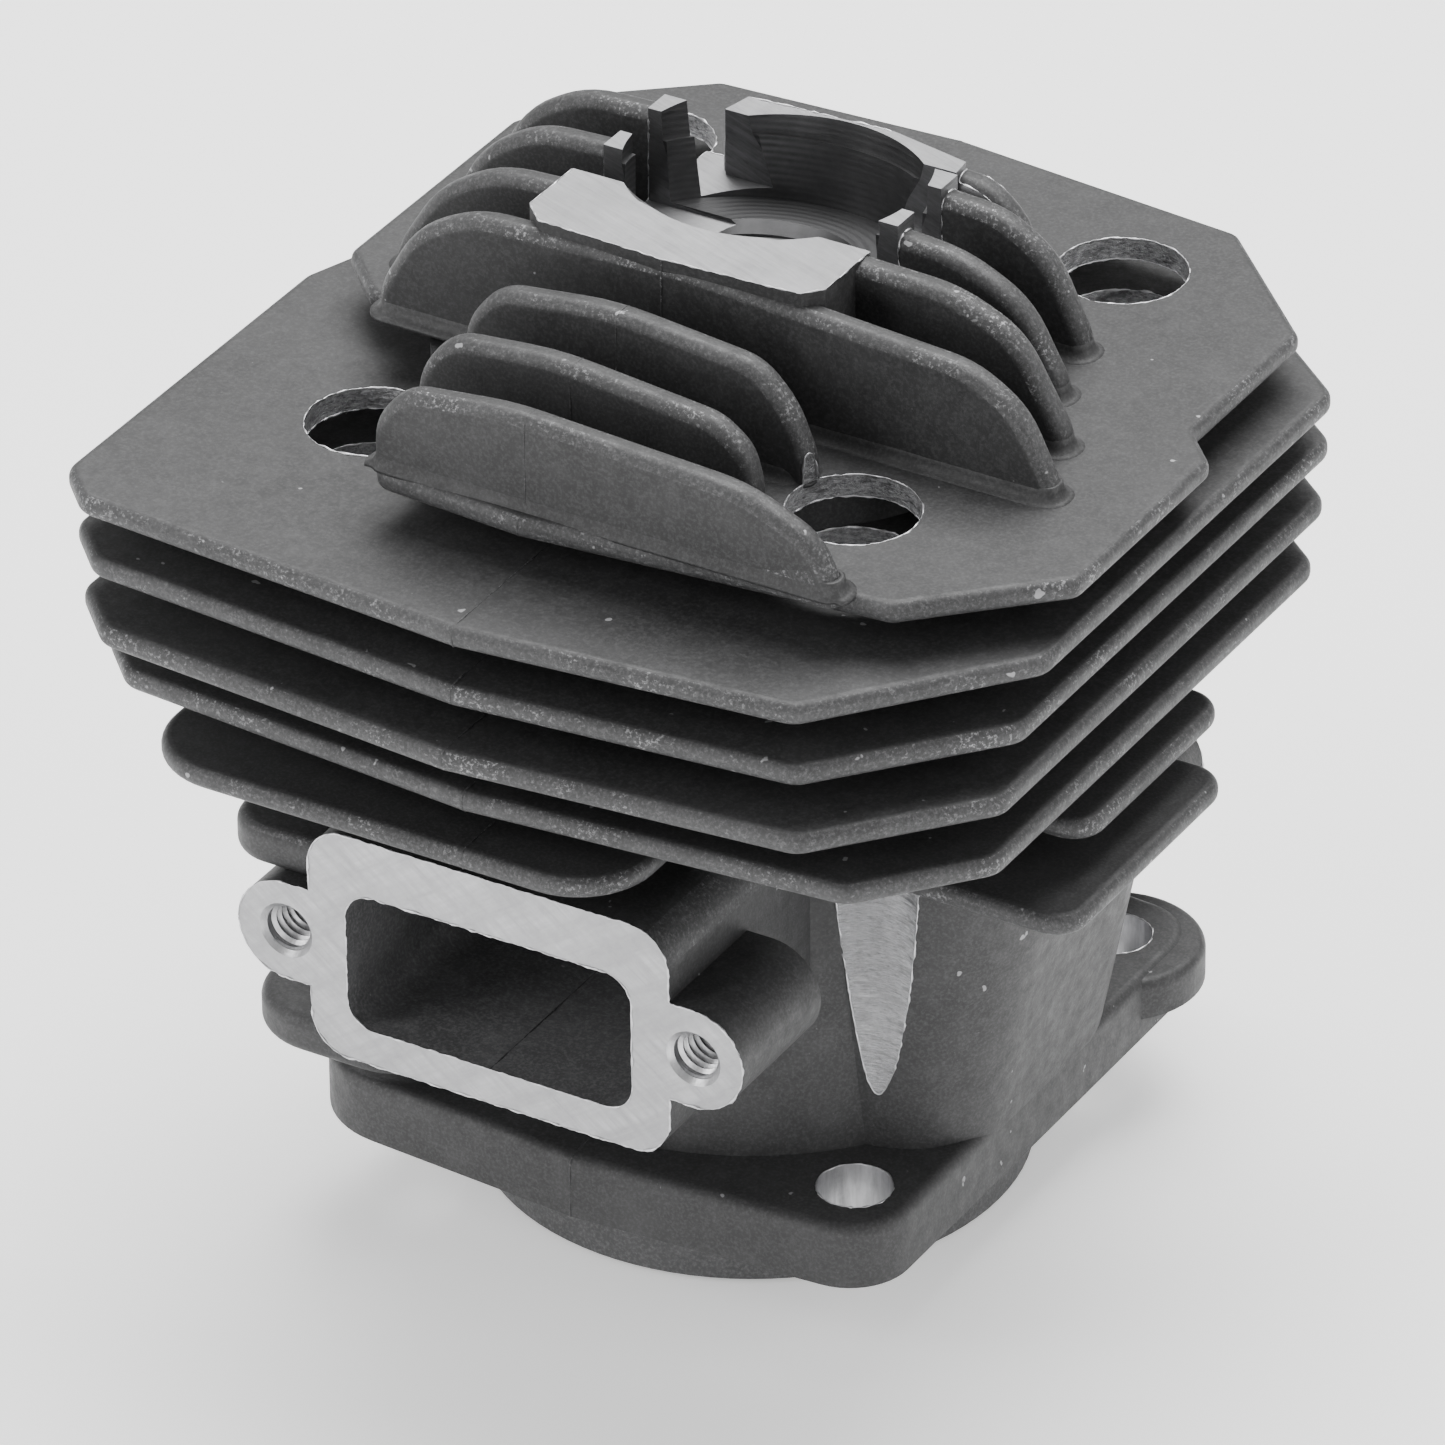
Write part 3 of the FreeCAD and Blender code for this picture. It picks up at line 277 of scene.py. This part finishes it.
RING = metal("ring_steel", lambda t: bands(t, "Z", 0.3, 1.0), 0.28, 0.42, (0.25, 0.4), 0.006, 0.15)
GROUND = metal("ground_steel", lambda t: bands(t, "X", 0.2, 1.0), 0.46, 0.60, (0.16, 0.26), 0.004, 0.1)
WIRE = metal("spring_steel", lambda t: bands(t, "Y", 0.4, 1.5), 0.20, 0.32, (0.28, 0.4), 0.006, 0.2)
print("materials made", len(bpy.data.materials))

# %% [markdown]
# ## Painting the casting by region
# The casting is one CAD mesh, and its points never move. A mesh can still hold several
# materials, one per face, so each face is asked where its corners are and which way it
# looks, and gets the finish that the tool or the spray gun would have left there.
# Inside the ducts the coat is painted light, and on the fins' sides and edges it carries a painted sheen besides its
# wear.

# %% Sizes the painting needs
SLOTS = [COAT, COAT_EDGE_WEAR_AND_SHEEN, COAT_ROUGH, COAT_PORT_PAINTED_LIGHT, COAT_SPIGOT, MILLED_PORT, MILLED_TOP, CUT_WALL,
         PLUG_HOLE, WELL_FLOOR, TURNED_WELL, DRILLED, GOUGE, TORN_HOLE]
ROLE = {m.name.split(".")[0]: i for i, m in enumerate(SLOTS)}
bolts = mounts["base_bolts"]
half_x = bolts["dims"]["spacing_x_mm"] * MM / 2
half_y = bolts["dims"]["spacing_y_mm"] * MM / 2
face_y = port[1]
intake_y = mounts["intake_face"]["pos_m"][1]
deck_z = mounts["base_face"]["pos_m"][2]
spigot_r = mounts["spigot"]["dims"]["r_mm"] * MM
plug = mounts["plug_hole"]
plug_pos = Vector(plug["pos_m"])
plug_axis = Vector(plug["axis"])
well_r = 0.0129         # plug well
access_r = 0.0056       # holes drilled down through the fins
land_z = 0.0914         # milled lands in front of the well
rear_land_z = 0.0889    # lower land behind it
cut_floor_z = 0.0827    # flat the cutter left either side of the well
fins_low_z = 0.0445     # underside of the lowest fins
plate_top_z = 0.0791    # just over the head plate
over_plate_z = 0.0795   # where the standing fins and the well begin
gouge_top_z = 0.0555    # under this an access hole breaks out of the barrel's side
touching = 0.0002       # how near a face lies to a level to count as on it
bolt_r = bolts["dims"]["hole_r_mm"] * MM
screws = [mounts[side + "_screw_" + way] for side in ("exhaust", "intake") for way in ("left", "right")]
print("tapped ears", len(screws), "plug hole at", [round(v, 4) for v in plug_pos])


# %% Which finish a face gets
def on_cylinder(corners, centre_x, centre_y, radius):
    """True if every corner lies on an upright cylinder."""
    return all(abs(math.hypot(c.x - centre_x, c.y - centre_y) - radius) < 0.00006 for c in corners)


def holes_finish(p, n, corners):
    """The drilled, bored and tapped walls, or None."""
    for sx in (-1, 1):
        for sy in (-1, 1):
            if abs(n.z) < 0.2 and on_cylinder(corners, sx * half_x, sy * half_y, access_r):
                return "gouged_wall" if p.z < gouge_top_z else "torn_hole"
            if abs(n.z) < 0.2 and on_cylinder(corners, sx * half_x, sy * half_y, bolt_r):
                return "drilled_hole"
    for m in screws:
        x, y, z = m["pos_m"]
        near = all(math.hypot(c.x - x, c.z - z) < 0.0027 for c in corners)
        if near and abs(p.y - y) < 0.008:
            return "drilled_hole"
    if math.hypot(p.x, p.y) < 0.0231 and p.z < 0.0722 and all(math.hypot(c.x, c.y) < 0.0232 for c in corners):
        return "milled_top"
    return None


def well_finish(p, n, corners):
    """The plug well and everything the cutter levelled round it, or None."""
    from_axis = [(c - plug_pos).cross(plug_axis).length for c in corners]
    if 0.0660 < p.z < 0.0845 and max(from_axis) < 0.0075:
        return "plug_hole"
    if p.z > over_plate_z and max(from_axis) < well_r + 0.0001:
        return "well_floor" if n.dot(plug_axis) > 0.5 else "turned_well"
    if n.z > 0.99 and abs(p.z - land_z) < touching and abs(p.x) < 0.0145:
        return "milled_top"
    if n.z > 0.99 and abs(p.z - rear_land_z) < touching and abs(p.x) < 0.0125 and p.y > 0.0105:
        return "milled_top"
    if n.z > 0.9 and abs(p.z - cut_floor_z) < 1.5 * touching and abs(p.x) < 0.0142:
        return "milled_top"
    if p.z > 0.0828 and 0.0075 < abs(p.x) < 0.0146 and -0.0045 < p.y < 0.0175 and abs(n.z) < 0.5:
        return "milled_top" if n.x < -0.7 or (n.x > 0.7 and p.x < 0.0) else "cut_wall"
    return None


def finish_of(p, n, corners):
    """The finish of a face with centre p, outward direction n and these corners, in metres."""
    if n.y < -0.99 and abs(p.y - face_y) < touching:
        return "milled_port"
    if n.y > 0.99 and abs(p.y - intake_y) < touching:
        return "milled_port"
    if n.z < -0.99 and abs(p.z - deck_z) < touching:
        return "milled_port"
    if p.z < deck_z + 0.0001 and math.hypot(p.x, p.y) > spigot_r - 0.003:
        return "coated_spigot"
    inside_duct = abs(p.x) < 0.0138 and abs(p.y) > 0.0212
    # inside both ducts the faces take the much lighter coat: painted light
    if inside_duct and p.y < 0 and 0.0290 < p.z < 0.0435:
        return "coated_port_painted_light"
    if inside_duct and p.y > 0 and 0.0150 < p.z < 0.0270 and abs(p.x) < 0.0117:
        return "coated_port_painted_light"
    found = well_finish(p, n, corners) or holes_finish(p, n, corners)
    if found:
        return found
    # fin sides and sloped edges take the worn coat whose lighter tone is a painted sheen
    if fins_low_z < p.z < plate_top_z and abs(n.z) < 0.93:
        return "coated_edge_wear_and_sheen" if math.hypot(p.x, p.y) > 0.0265 else "coated_rough"
    if p.z > over_plate_z and 0.10 < abs(n.z) < 0.985:
        return "coated_edge_wear_and_sheen"
    return "coated_rough" if 0.0142 < p.z < fins_low_z else "coated_casting"


# %% Paint it
mesh = casting.data
mesh.materials.clear()
for material in SLOTS:
    mesh.materials.append(material)
for polygon in mesh.polygons:
    corners = [mesh.vertices[i].co for i in polygon.vertices]
    polygon.material_index = ROLE[finish_of(polygon.center, polygon.normal, corners)]
for node, material in (("bore_plating", HONED), ("piston", PISTON), ("top_ring", RING), ("lower_ring", RING),
                       ("ring_locating_pins", RING), ("gudgeon_pin", GROUND), ("circlip_left", WIRE),
                       ("circlip_right", WIRE)):
    part = frame["nodes"][node].data
    part.materials.clear()
    part.materials.append(material)
print("faces painted", len(mesh.polygons))

# %% [markdown]
# ## Ragged burrs where a cutter broke the coat
# Wherever a drill or mill leaves a fresh face next to the black coat, the border shows a
# thin torn line of bright metal. The borders are already known: they are the edges between
# a bare face and a coated one. So we collect those edges, and a Geometry Nodes tree turns
# them into curves, jitters them a little and gives them an uneven thickness.


# %% A tree that turns edges into an uneven bead
def bead_tree(name, material):
    """Edges in, ragged bead out. Inputs: Step, Shake, Thick, Grain, Seed."""
    tree = bpy.data.node_groups.new(name, "GeometryNodeTree")
    sockets = {}
    tree.interface.new_socket("Geometry", in_out="INPUT", socket_type="NodeSocketGeometry")
    for label, value in (("Step", 0.0004), ("Shake", 0.00006), ("Thick", 0.00007), ("Grain", 1200.0), ("Seed", 3.0)):
        item = tree.interface.new_socket(label, in_out="INPUT", socket_type="NodeSocketFloat")
        item.default_value = value
        sockets[label] = item.identifier
    tree.interface.new_socket("Geometry", in_out="OUTPUT", socket_type="NodeSocketGeometry")

    def node(kind, **values):
        made = tree.nodes.new(kind)
        for key, value in values.items():
            setattr(made, key, value)
        return made

    link = tree.links.new
    start, end = node("NodeGroupInput"), node("NodeGroupOutput")
    curve = node("GeometryNodeMeshToCurve")
    resample = node("GeometryNodeResampleCurve", mode="LENGTH")
    link(start.outputs["Geometry"], curve.inputs[0])
    link(curve.outputs[0], resample.inputs["Curve"])
    link(start.outputs["Step"], resample.inputs["Length"])
    place = node("GeometryNodeInputPosition")
    shake = node("ShaderNodeTexNoise", noise_dimensions="4D")
    link(place.outputs[0], shake.inputs["Vector"])
    link(start.outputs["Grain"], shake.inputs["Scale"])
    link(start.outputs["Seed"], shake.inputs["W"])
    centred = node("ShaderNodeVectorMath", operation="SUBTRACT")
    centred.inputs[1].default_value = (0.5, 0.5, 0.5)
    link(shake.outputs["Color"], centred.inputs[0])
    scaled = node("ShaderNodeVectorMath", operation="SCALE")
    link(centred.outputs[0], scaled.inputs[0])
    link(start.outputs["Shake"], scaled.inputs["Scale"])
    moved = node("GeometryNodeSetPosition")
    link(resample.outputs[0], moved.inputs["Geometry"])
    link(scaled.outputs[0], moved.inputs["Offset"])
    thick = node("ShaderNodeMapRange")
    for index, value in enumerate((0.42, 0.68, 0.25, 1.5)):
        thick.inputs[index + 1].default_value = value
    link(shake.outputs["Fac"], thick.inputs[0])
    profile = node("GeometryNodeCurvePrimitiveCircle")
    profile.inputs["Resolution"].default_value = 5
    link(start.outputs["Thick"], profile.inputs["Radius"])
    solid = node("GeometryNodeCurveToMesh")
    solid.inputs["Fill Caps"].default_value = True
    link(moved.outputs[0], solid.inputs["Curve"])
    link(profile.outputs[0], solid.inputs["Profile Curve"])
    link(thick.outputs[0], solid.inputs["Scale"])
    real = node("GeometryNodeRealizeInstances")
    link(solid.outputs[0], real.inputs[0])
    dressed = node("GeometryNodeSetMaterial")
    dressed.inputs["Material"].default_value = material
    link(real.outputs[0], dressed.inputs[0])
    link(dressed.outputs[0], end.inputs[0])
    return tree, sockets


def plain_mesh(name, source, tree, sockets, **inputs):
    """Runs a Geometry Nodes tree on a source mesh and keeps the result as an ordinary object."""
    holder = bpy.data.objects.new(name + "_source", source)
    bpy.context.scene.collection.objects.link(holder)
    modifier = holder.modifiers.new("tree", "NODES")
    modifier.node_group = tree
    for label, value in inputs.items():
        modifier[sockets[label]] = value
    shown = holder.evaluated_get(bpy.context.evaluated_depsgraph_get())
    result = bpy.data.meshes.new_from_object(shown)
    bpy.data.objects.remove(holder)
    piece = bpy.data.objects.new(name, result)
    bpy.context.scene.collection.objects.link(piece)
    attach(piece, "cylinder")
    print(name, "triangles", sum(len(f.vertices) - 2 for f in result.polygons))
    return piece


# %% Collect the borders between bare and coated faces
whole = bmesh.new()
whole.from_mesh(mesh)
bmesh.ops.remove_doubles(whole, verts=whole.verts, dist=0.000004)
BARE = {ROLE[name] for name in ("milled_port", "milled_top", "cut_wall", "turned_well", "well_floor", "drilled_hole",
                                "plug_hole", "gouged_wall", "torn_hole")}


def edge_mesh(name, edges):
    """A mesh of loose edges, copied from bmesh edges."""
    spots, pairs = {}, []
    for edge in edges:
        pairs.append([spots.setdefault(v.index, len(spots)) for v in edge.verts])
    whole.verts.ensure_lookup_table()
    made = bpy.data.meshes.new(name)
    made.from_pydata([whole.verts[i].co.copy() for i in spots], pairs, [])
    return made


whole.verts.index_update()
borders = [e for e in whole.edges if len(e.link_faces) == 2
           and (e.link_faces[0].material_index in BARE) != (e.link_faces[1].material_index in BARE)]
outside = [e for e in borders if max(math.hypot(v.co.x, v.co.y) for v in e.verts) > 0.0222 or e.verts[0].co.z > 0.079]
outside = [e for e in outside if e.verts[0].co.z > deck_z + 0.0003]
BURR = metal("torn_burr", lambda t: t.noise(1500.0, 4.0), 0.34, 0.78, (0.3, 0.5), 0.01, 0.2)
bead, bead_inputs = bead_tree("ragged_bead", BURR)
plain_mesh("machining_burrs", edge_mesh("borders", outside), bead, bead_inputs,
           Step=0.0003, Shake=0.00030, Thick=0.00010, Grain=1300.0, Seed=3.0)

# %% [markdown]
# ## The parting seam
# The two side dies meet on the plane x = 0 and leave a fine ridge wherever that plane
# crosses the outside of the casting. Cutting a copy of the mesh with the plane gives the
# exact line, and the same tree makes it a bead in the coat's own colour.

# %% Cut the seam line and bead it
cut = bmesh.ops.bisect_plane(whole, geom=whole.verts[:] + whole.edges[:] + whole.faces[:],
                             plane_co=(0.0, 0.0, 0.0), plane_no=(1.0, 0.0, 0.0), dist=0.0000005)["geom_cut"]
whole.verts.index_update()


def seam_shows(edge):
    """The seam is left on the outside only: fronts and backs of fins, ribs and flange."""
    a = (edge.verts[0].co + edge.verts[1].co) / 2
    if any(f.material_index in BARE for f in edge.link_faces):
        return False
    return abs(a.y) > 0.0262 or a.z > 0.0792


seam_edges = [e for e in cut if isinstance(e, bmesh.types.BMEdge) and seam_shows(e)]
# the seam bead takes that same worn coat with its painted sheen
seam_bead, seam_inputs = bead_tree("seam_bead", COAT_EDGE_WEAR_AND_SHEEN)
plain_mesh("parting_seam", edge_mesh("seam", seam_edges), seam_bead, seam_inputs,
           Step=0.0006, Shake=0.00010, Thick=0.00009, Grain=500.0, Seed=8.0)
whole.free()

# %% [markdown]
# ## Cast fillets at the feet of the standing fins
# Molten metal never leaves a sharp inside corner, so each standing fin meets the plate in a
# small hollow curve. A strip with a concave section is swept round each foot. Where a
# drilled hole took the foot away, the strip shrinks to nothing.


# %% Foot fillets
def foot_path(x0, x1, y0, y1, corner, step=0.0006):
    """Points and outward directions round a rounded rectangle."""
    path = []
    for cx, cy, start in ((x1 - corner, y1 - corner, 0), (x0 + corner, y1 - corner, 90),
                          (x0 + corner, y0 + corner, 180), (x1 - corner, y0 + corner, 270)):
        for k in range(7):
            angle = math.radians(start + 15 * k)
            out = Vector((math.cos(angle), math.sin(angle), 0.0))
            path.append((Vector((cx, cy, 0.0)) + out * corner, out))
    full = []
    for (p, n), (q, m) in zip(path, path[1:] + path[:1]):
        pieces = max(1, int((q - p).length / step))
        full += [(p.lerp(q, k / pieces), n.lerp(m, k / pieces).normalized()) for k in range(pieces)]
    return full


def hole_room(p):
    """0 inside an access hole, rising to 1 a little way outside it."""
    nearest = min(math.hypot(p.x - sx * half_x, p.y - sy * half_y) for sx in (-1, 1) for sy in (-1, 1))
    return min(1.0, max(0.0, (nearest - access_r - 0.0002) / 0.0012))


plate_z = 0.0789
RIB_FEET = [(-14.5, 28.5), (-14.8, 17.0), (-14.7, 17.8), (-27.3, 36.3), (-30.0, 33.3), (-29.8, 29.0),
            (-29.8, 27.2), (-11.4, 18.4)]
feet = bmesh.new()
for number, (x0, x1) in enumerate(RIB_FEET):
    y0 = (-35.4 + 7.15 * number) * MM
    ring = []
    for p, n in foot_path(x0 * MM, x1 * MM, y0, y0 + 2.6 * MM, 1.1 * MM):
        wander = noise.noise(p * 260.0) * 0.2
        size = (0.0013 + 0.0003 * wander) * hole_room(p)
        lip = 0.0010 * hole_room(p)
        if number == 0 and n.y < -0.5:
            lip = 0.0004
        row = [feet.verts.new(p - n * 0.0004 + Vector((0, 0, plate_z - 0.0003)))]
        row.append(feet.verts.new(p - n * 0.0004 + Vector((0, 0, plate_z + size * 1.05))))
        for k in range(5):
            angle = math.radians(90 * k / 4)
            out = lip * (1 - math.cos(angle))
            high = size * (1 - math.sin(angle))
            row.append(feet.verts.new(p + n * (out - 0.00002) + Vector((0, 0, plate_z + high - 0.00002))))
        row.append(feet.verts.new(p + n * lip + Vector((0, 0, plate_z - 0.0003))))
        ring.append(row)
    for one, two in zip(ring, ring[1:] + ring[:1]):
        for k in range(len(one)):
            nxt = (k + 1) % len(one)
            feet.faces.new((one[k], one[nxt], two[nxt], two[k]))
bmesh.ops.recalc_face_normals(feet, faces=feet.faces)
feet_mesh = bpy.data.meshes.new("fin_feet")
feet.to_mesh(feet_mesh)
feet.free()
for face in feet_mesh.polygons:
    face.use_smooth = True
feet_mesh.materials.append(COAT)
feet_piece = bpy.data.objects.new("fin_feet", feet_mesh)
bpy.context.scene.collection.objects.link(feet_piece)
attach(feet_piece, "cylinder")
print("fin feet triangles", len(feet_mesh.polygons) * 2)

# %% [markdown]
# ## Screw threads
# A tapped hole is a helix: one ridge that climbs a pitch for each turn. The ridge's section
# is a small triangle, with its base just inside the hole's wall, and its ends taper away.


# %% Threads
def thread(bm, m, pitch, height, steps=40):
    """One helical ridge in the round mount m."""
    radius = m["dims"]["r_mm"] * MM
    length = m["dims"]["length_mm"] * MM
    axis = Vector(m["axis"]).normalized()
    side = axis.orthogonal().normalized()
    other = axis.cross(side)
    mouth = Vector(m["pos_m"]) + axis * m["mouth"]
    count = int(length / pitch * steps) - steps // 2
    rows = []
    for k in range(count + 1):
        angle = 2 * math.pi * k / steps
        out = side * math.cos(angle) + other * math.sin(angle)
        middle = mouth - axis * (pitch * (k / steps + 0.35))
        grow = min(1.0, k / (steps * 0.4), (count - k) / (steps * 0.4)) * height + 0.00002
        base = radius + 0.00005
        rows.append([bm.verts.new(middle + out * base + axis * pitch * 0.42),
                     bm.verts.new(middle + out * (radius - grow) + axis * pitch * 0.06),
                     bm.verts.new(middle + out * (radius - grow) - axis * pitch * 0.06),
                     bm.verts.new(middle + out * base - axis * pitch * 0.42)])
    for one, two in zip(rows, rows[1:]):
        for k in range(4):
            bm.faces.new((one[k], one[(k + 1) % 4], two[(k + 1) % 4], two[k]))
    bm.faces.new(rows[0])
    bm.faces.new(rows[-1][::-1])


threads = bmesh.new()
for m in screws:
    face = face_y if m["pos_m"][1] < 0 else intake_y
    thread(threads, dict(m, mouth=abs(face - m["pos_m"][1]) - 0.0004), 0.0008, 0.00032)
thread(threads, dict(plug, mouth=0.0046), 0.00125, 0.00045, 64)
bmesh.ops.recalc_face_normals(threads, faces=threads.faces)
thread_mesh = bpy.data.meshes.new("screw_threads")
threads.to_mesh(thread_mesh)
threads.free()
thread_mesh.materials.append(DRILLED)
thread_piece = bpy.data.objects.new("screw_threads", thread_mesh)
bpy.context.scene.collection.objects.link(thread_piece)
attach(thread_piece, "cylinder")
print("thread triangles", len(thread_mesh.polygons) * 2)

# %% [markdown]
# ## The camera
# A long lens from the front right and above. The matrix's columns are the camera's own
# right, up and back directions, and the lens shift slides the picture without turning it.

# %% Camera
azimuth, elevation, roll = math.radians(30.526), math.radians(31.624), math.radians(-0.431)
ahead = Vector((-math.sin(azimuth) * math.cos(elevation), math.cos(azimuth) * math.cos(elevation),
                -math.sin(elevation)))
right = Vector((math.cos(azimuth), math.sin(azimuth), 0.0))
up = right.cross(ahead)
right, up = right * math.cos(roll) + up * math.sin(roll), up * math.cos(roll) - right * math.sin(roll)
aim_height, distance = 0.03994, 1.00577
eye = Vector((0.0, 0.0, aim_height)) - ahead * distance
camera_data = bpy.data.cameras.new("camera")
camera = bpy.data.objects.new("camera", camera_data)
bpy.context.scene.collection.objects.link(camera)
camera.matrix_world = Matrix.Translation(eye) @ Matrix((right, up, -ahead)).transposed().to_4x4()
image_side, sensor = 1445.0, 36.0
camera_data.sensor_width = sensor
camera_data.lens = 12002.0 / image_side * sensor
camera_data.shift_x = -29.487 / image_side
camera_data.shift_y = 1.324 / image_side
camera_data.clip_end = 10.0
bpy.context.scene.camera = camera
print("camera at", [round(v, 3) for v in eye], "lens", round(camera_data.lens, 1), "mm")

# %% [markdown]
# ## Studio light and floor
# Dark metal needs big soft lights: a broad one overhead for the level faces, a tall one at
# the left for the fins' fronts, a low one that reaches into the exhaust port, and a weak
# fill at the right. The floor is plain and pale, and glows a little so that it stays near
# white.


# %% Lights and floor
def soft_light(name, place, size, power, aim=(0.0, 0.0, 0.05)):
    data = bpy.data.lights.new(name, "AREA")
    data.shape = "RECTANGLE"
    data.size, data.size_y = size
    data.energy = power
    lamp = bpy.data.objects.new(name, data)
    bpy.context.scene.collection.objects.link(lamp)
    lamp.location = place
    lamp.rotation_euler = (Vector(aim) - Vector(place)).to_track_quat("-Z", "Y").to_euler()


soft_light("overhead", (-0.1, 0.35, 0.9), (0.9, 0.7), 20.0)
soft_light("front_left", (-0.75, -0.75, 0.55), (0.5, 0.8), 7.0)
soft_light("front_low", (0.25, -1.1, 0.20), (0.5, 0.3), 3.0)
soft_light("right_fill", (0.9, 0.1, 0.45), (0.5, 0.7), 3.0)
world = bpy.data.worlds.new("studio")
world.use_nodes = True
world.node_tree.nodes["Background"].inputs[0].default_value = (1.0, 1.0, 1.0, 1.0)
world.node_tree.nodes["Background"].inputs[1].default_value = 0.55
bpy.context.scene.world = world
floor_mesh = bpy.data.meshes.new("floor")
floor_mesh.from_pydata([(-6, -6, -0.0005), (6, -6, -0.0005), (6, 6, -0.0005), (-6, 6, -0.0005)], [], [(0, 1, 2, 3)])
floor = bpy.data.objects.new("floor", floor_mesh)
bpy.context.scene.collection.objects.link(floor)
paper = Tree("paper")
floor_mesh.materials.append(paper.finish((0.92, 0.92, 0.92), 0.9, None, 0.0, 0.2))
paper.shader.inputs["Emission Color"].default_value = (1.0, 1.0, 1.0, 1.0)
paper.shader.inputs["Emission Strength"].default_value = 0.42
print("lights", len(bpy.data.lights))
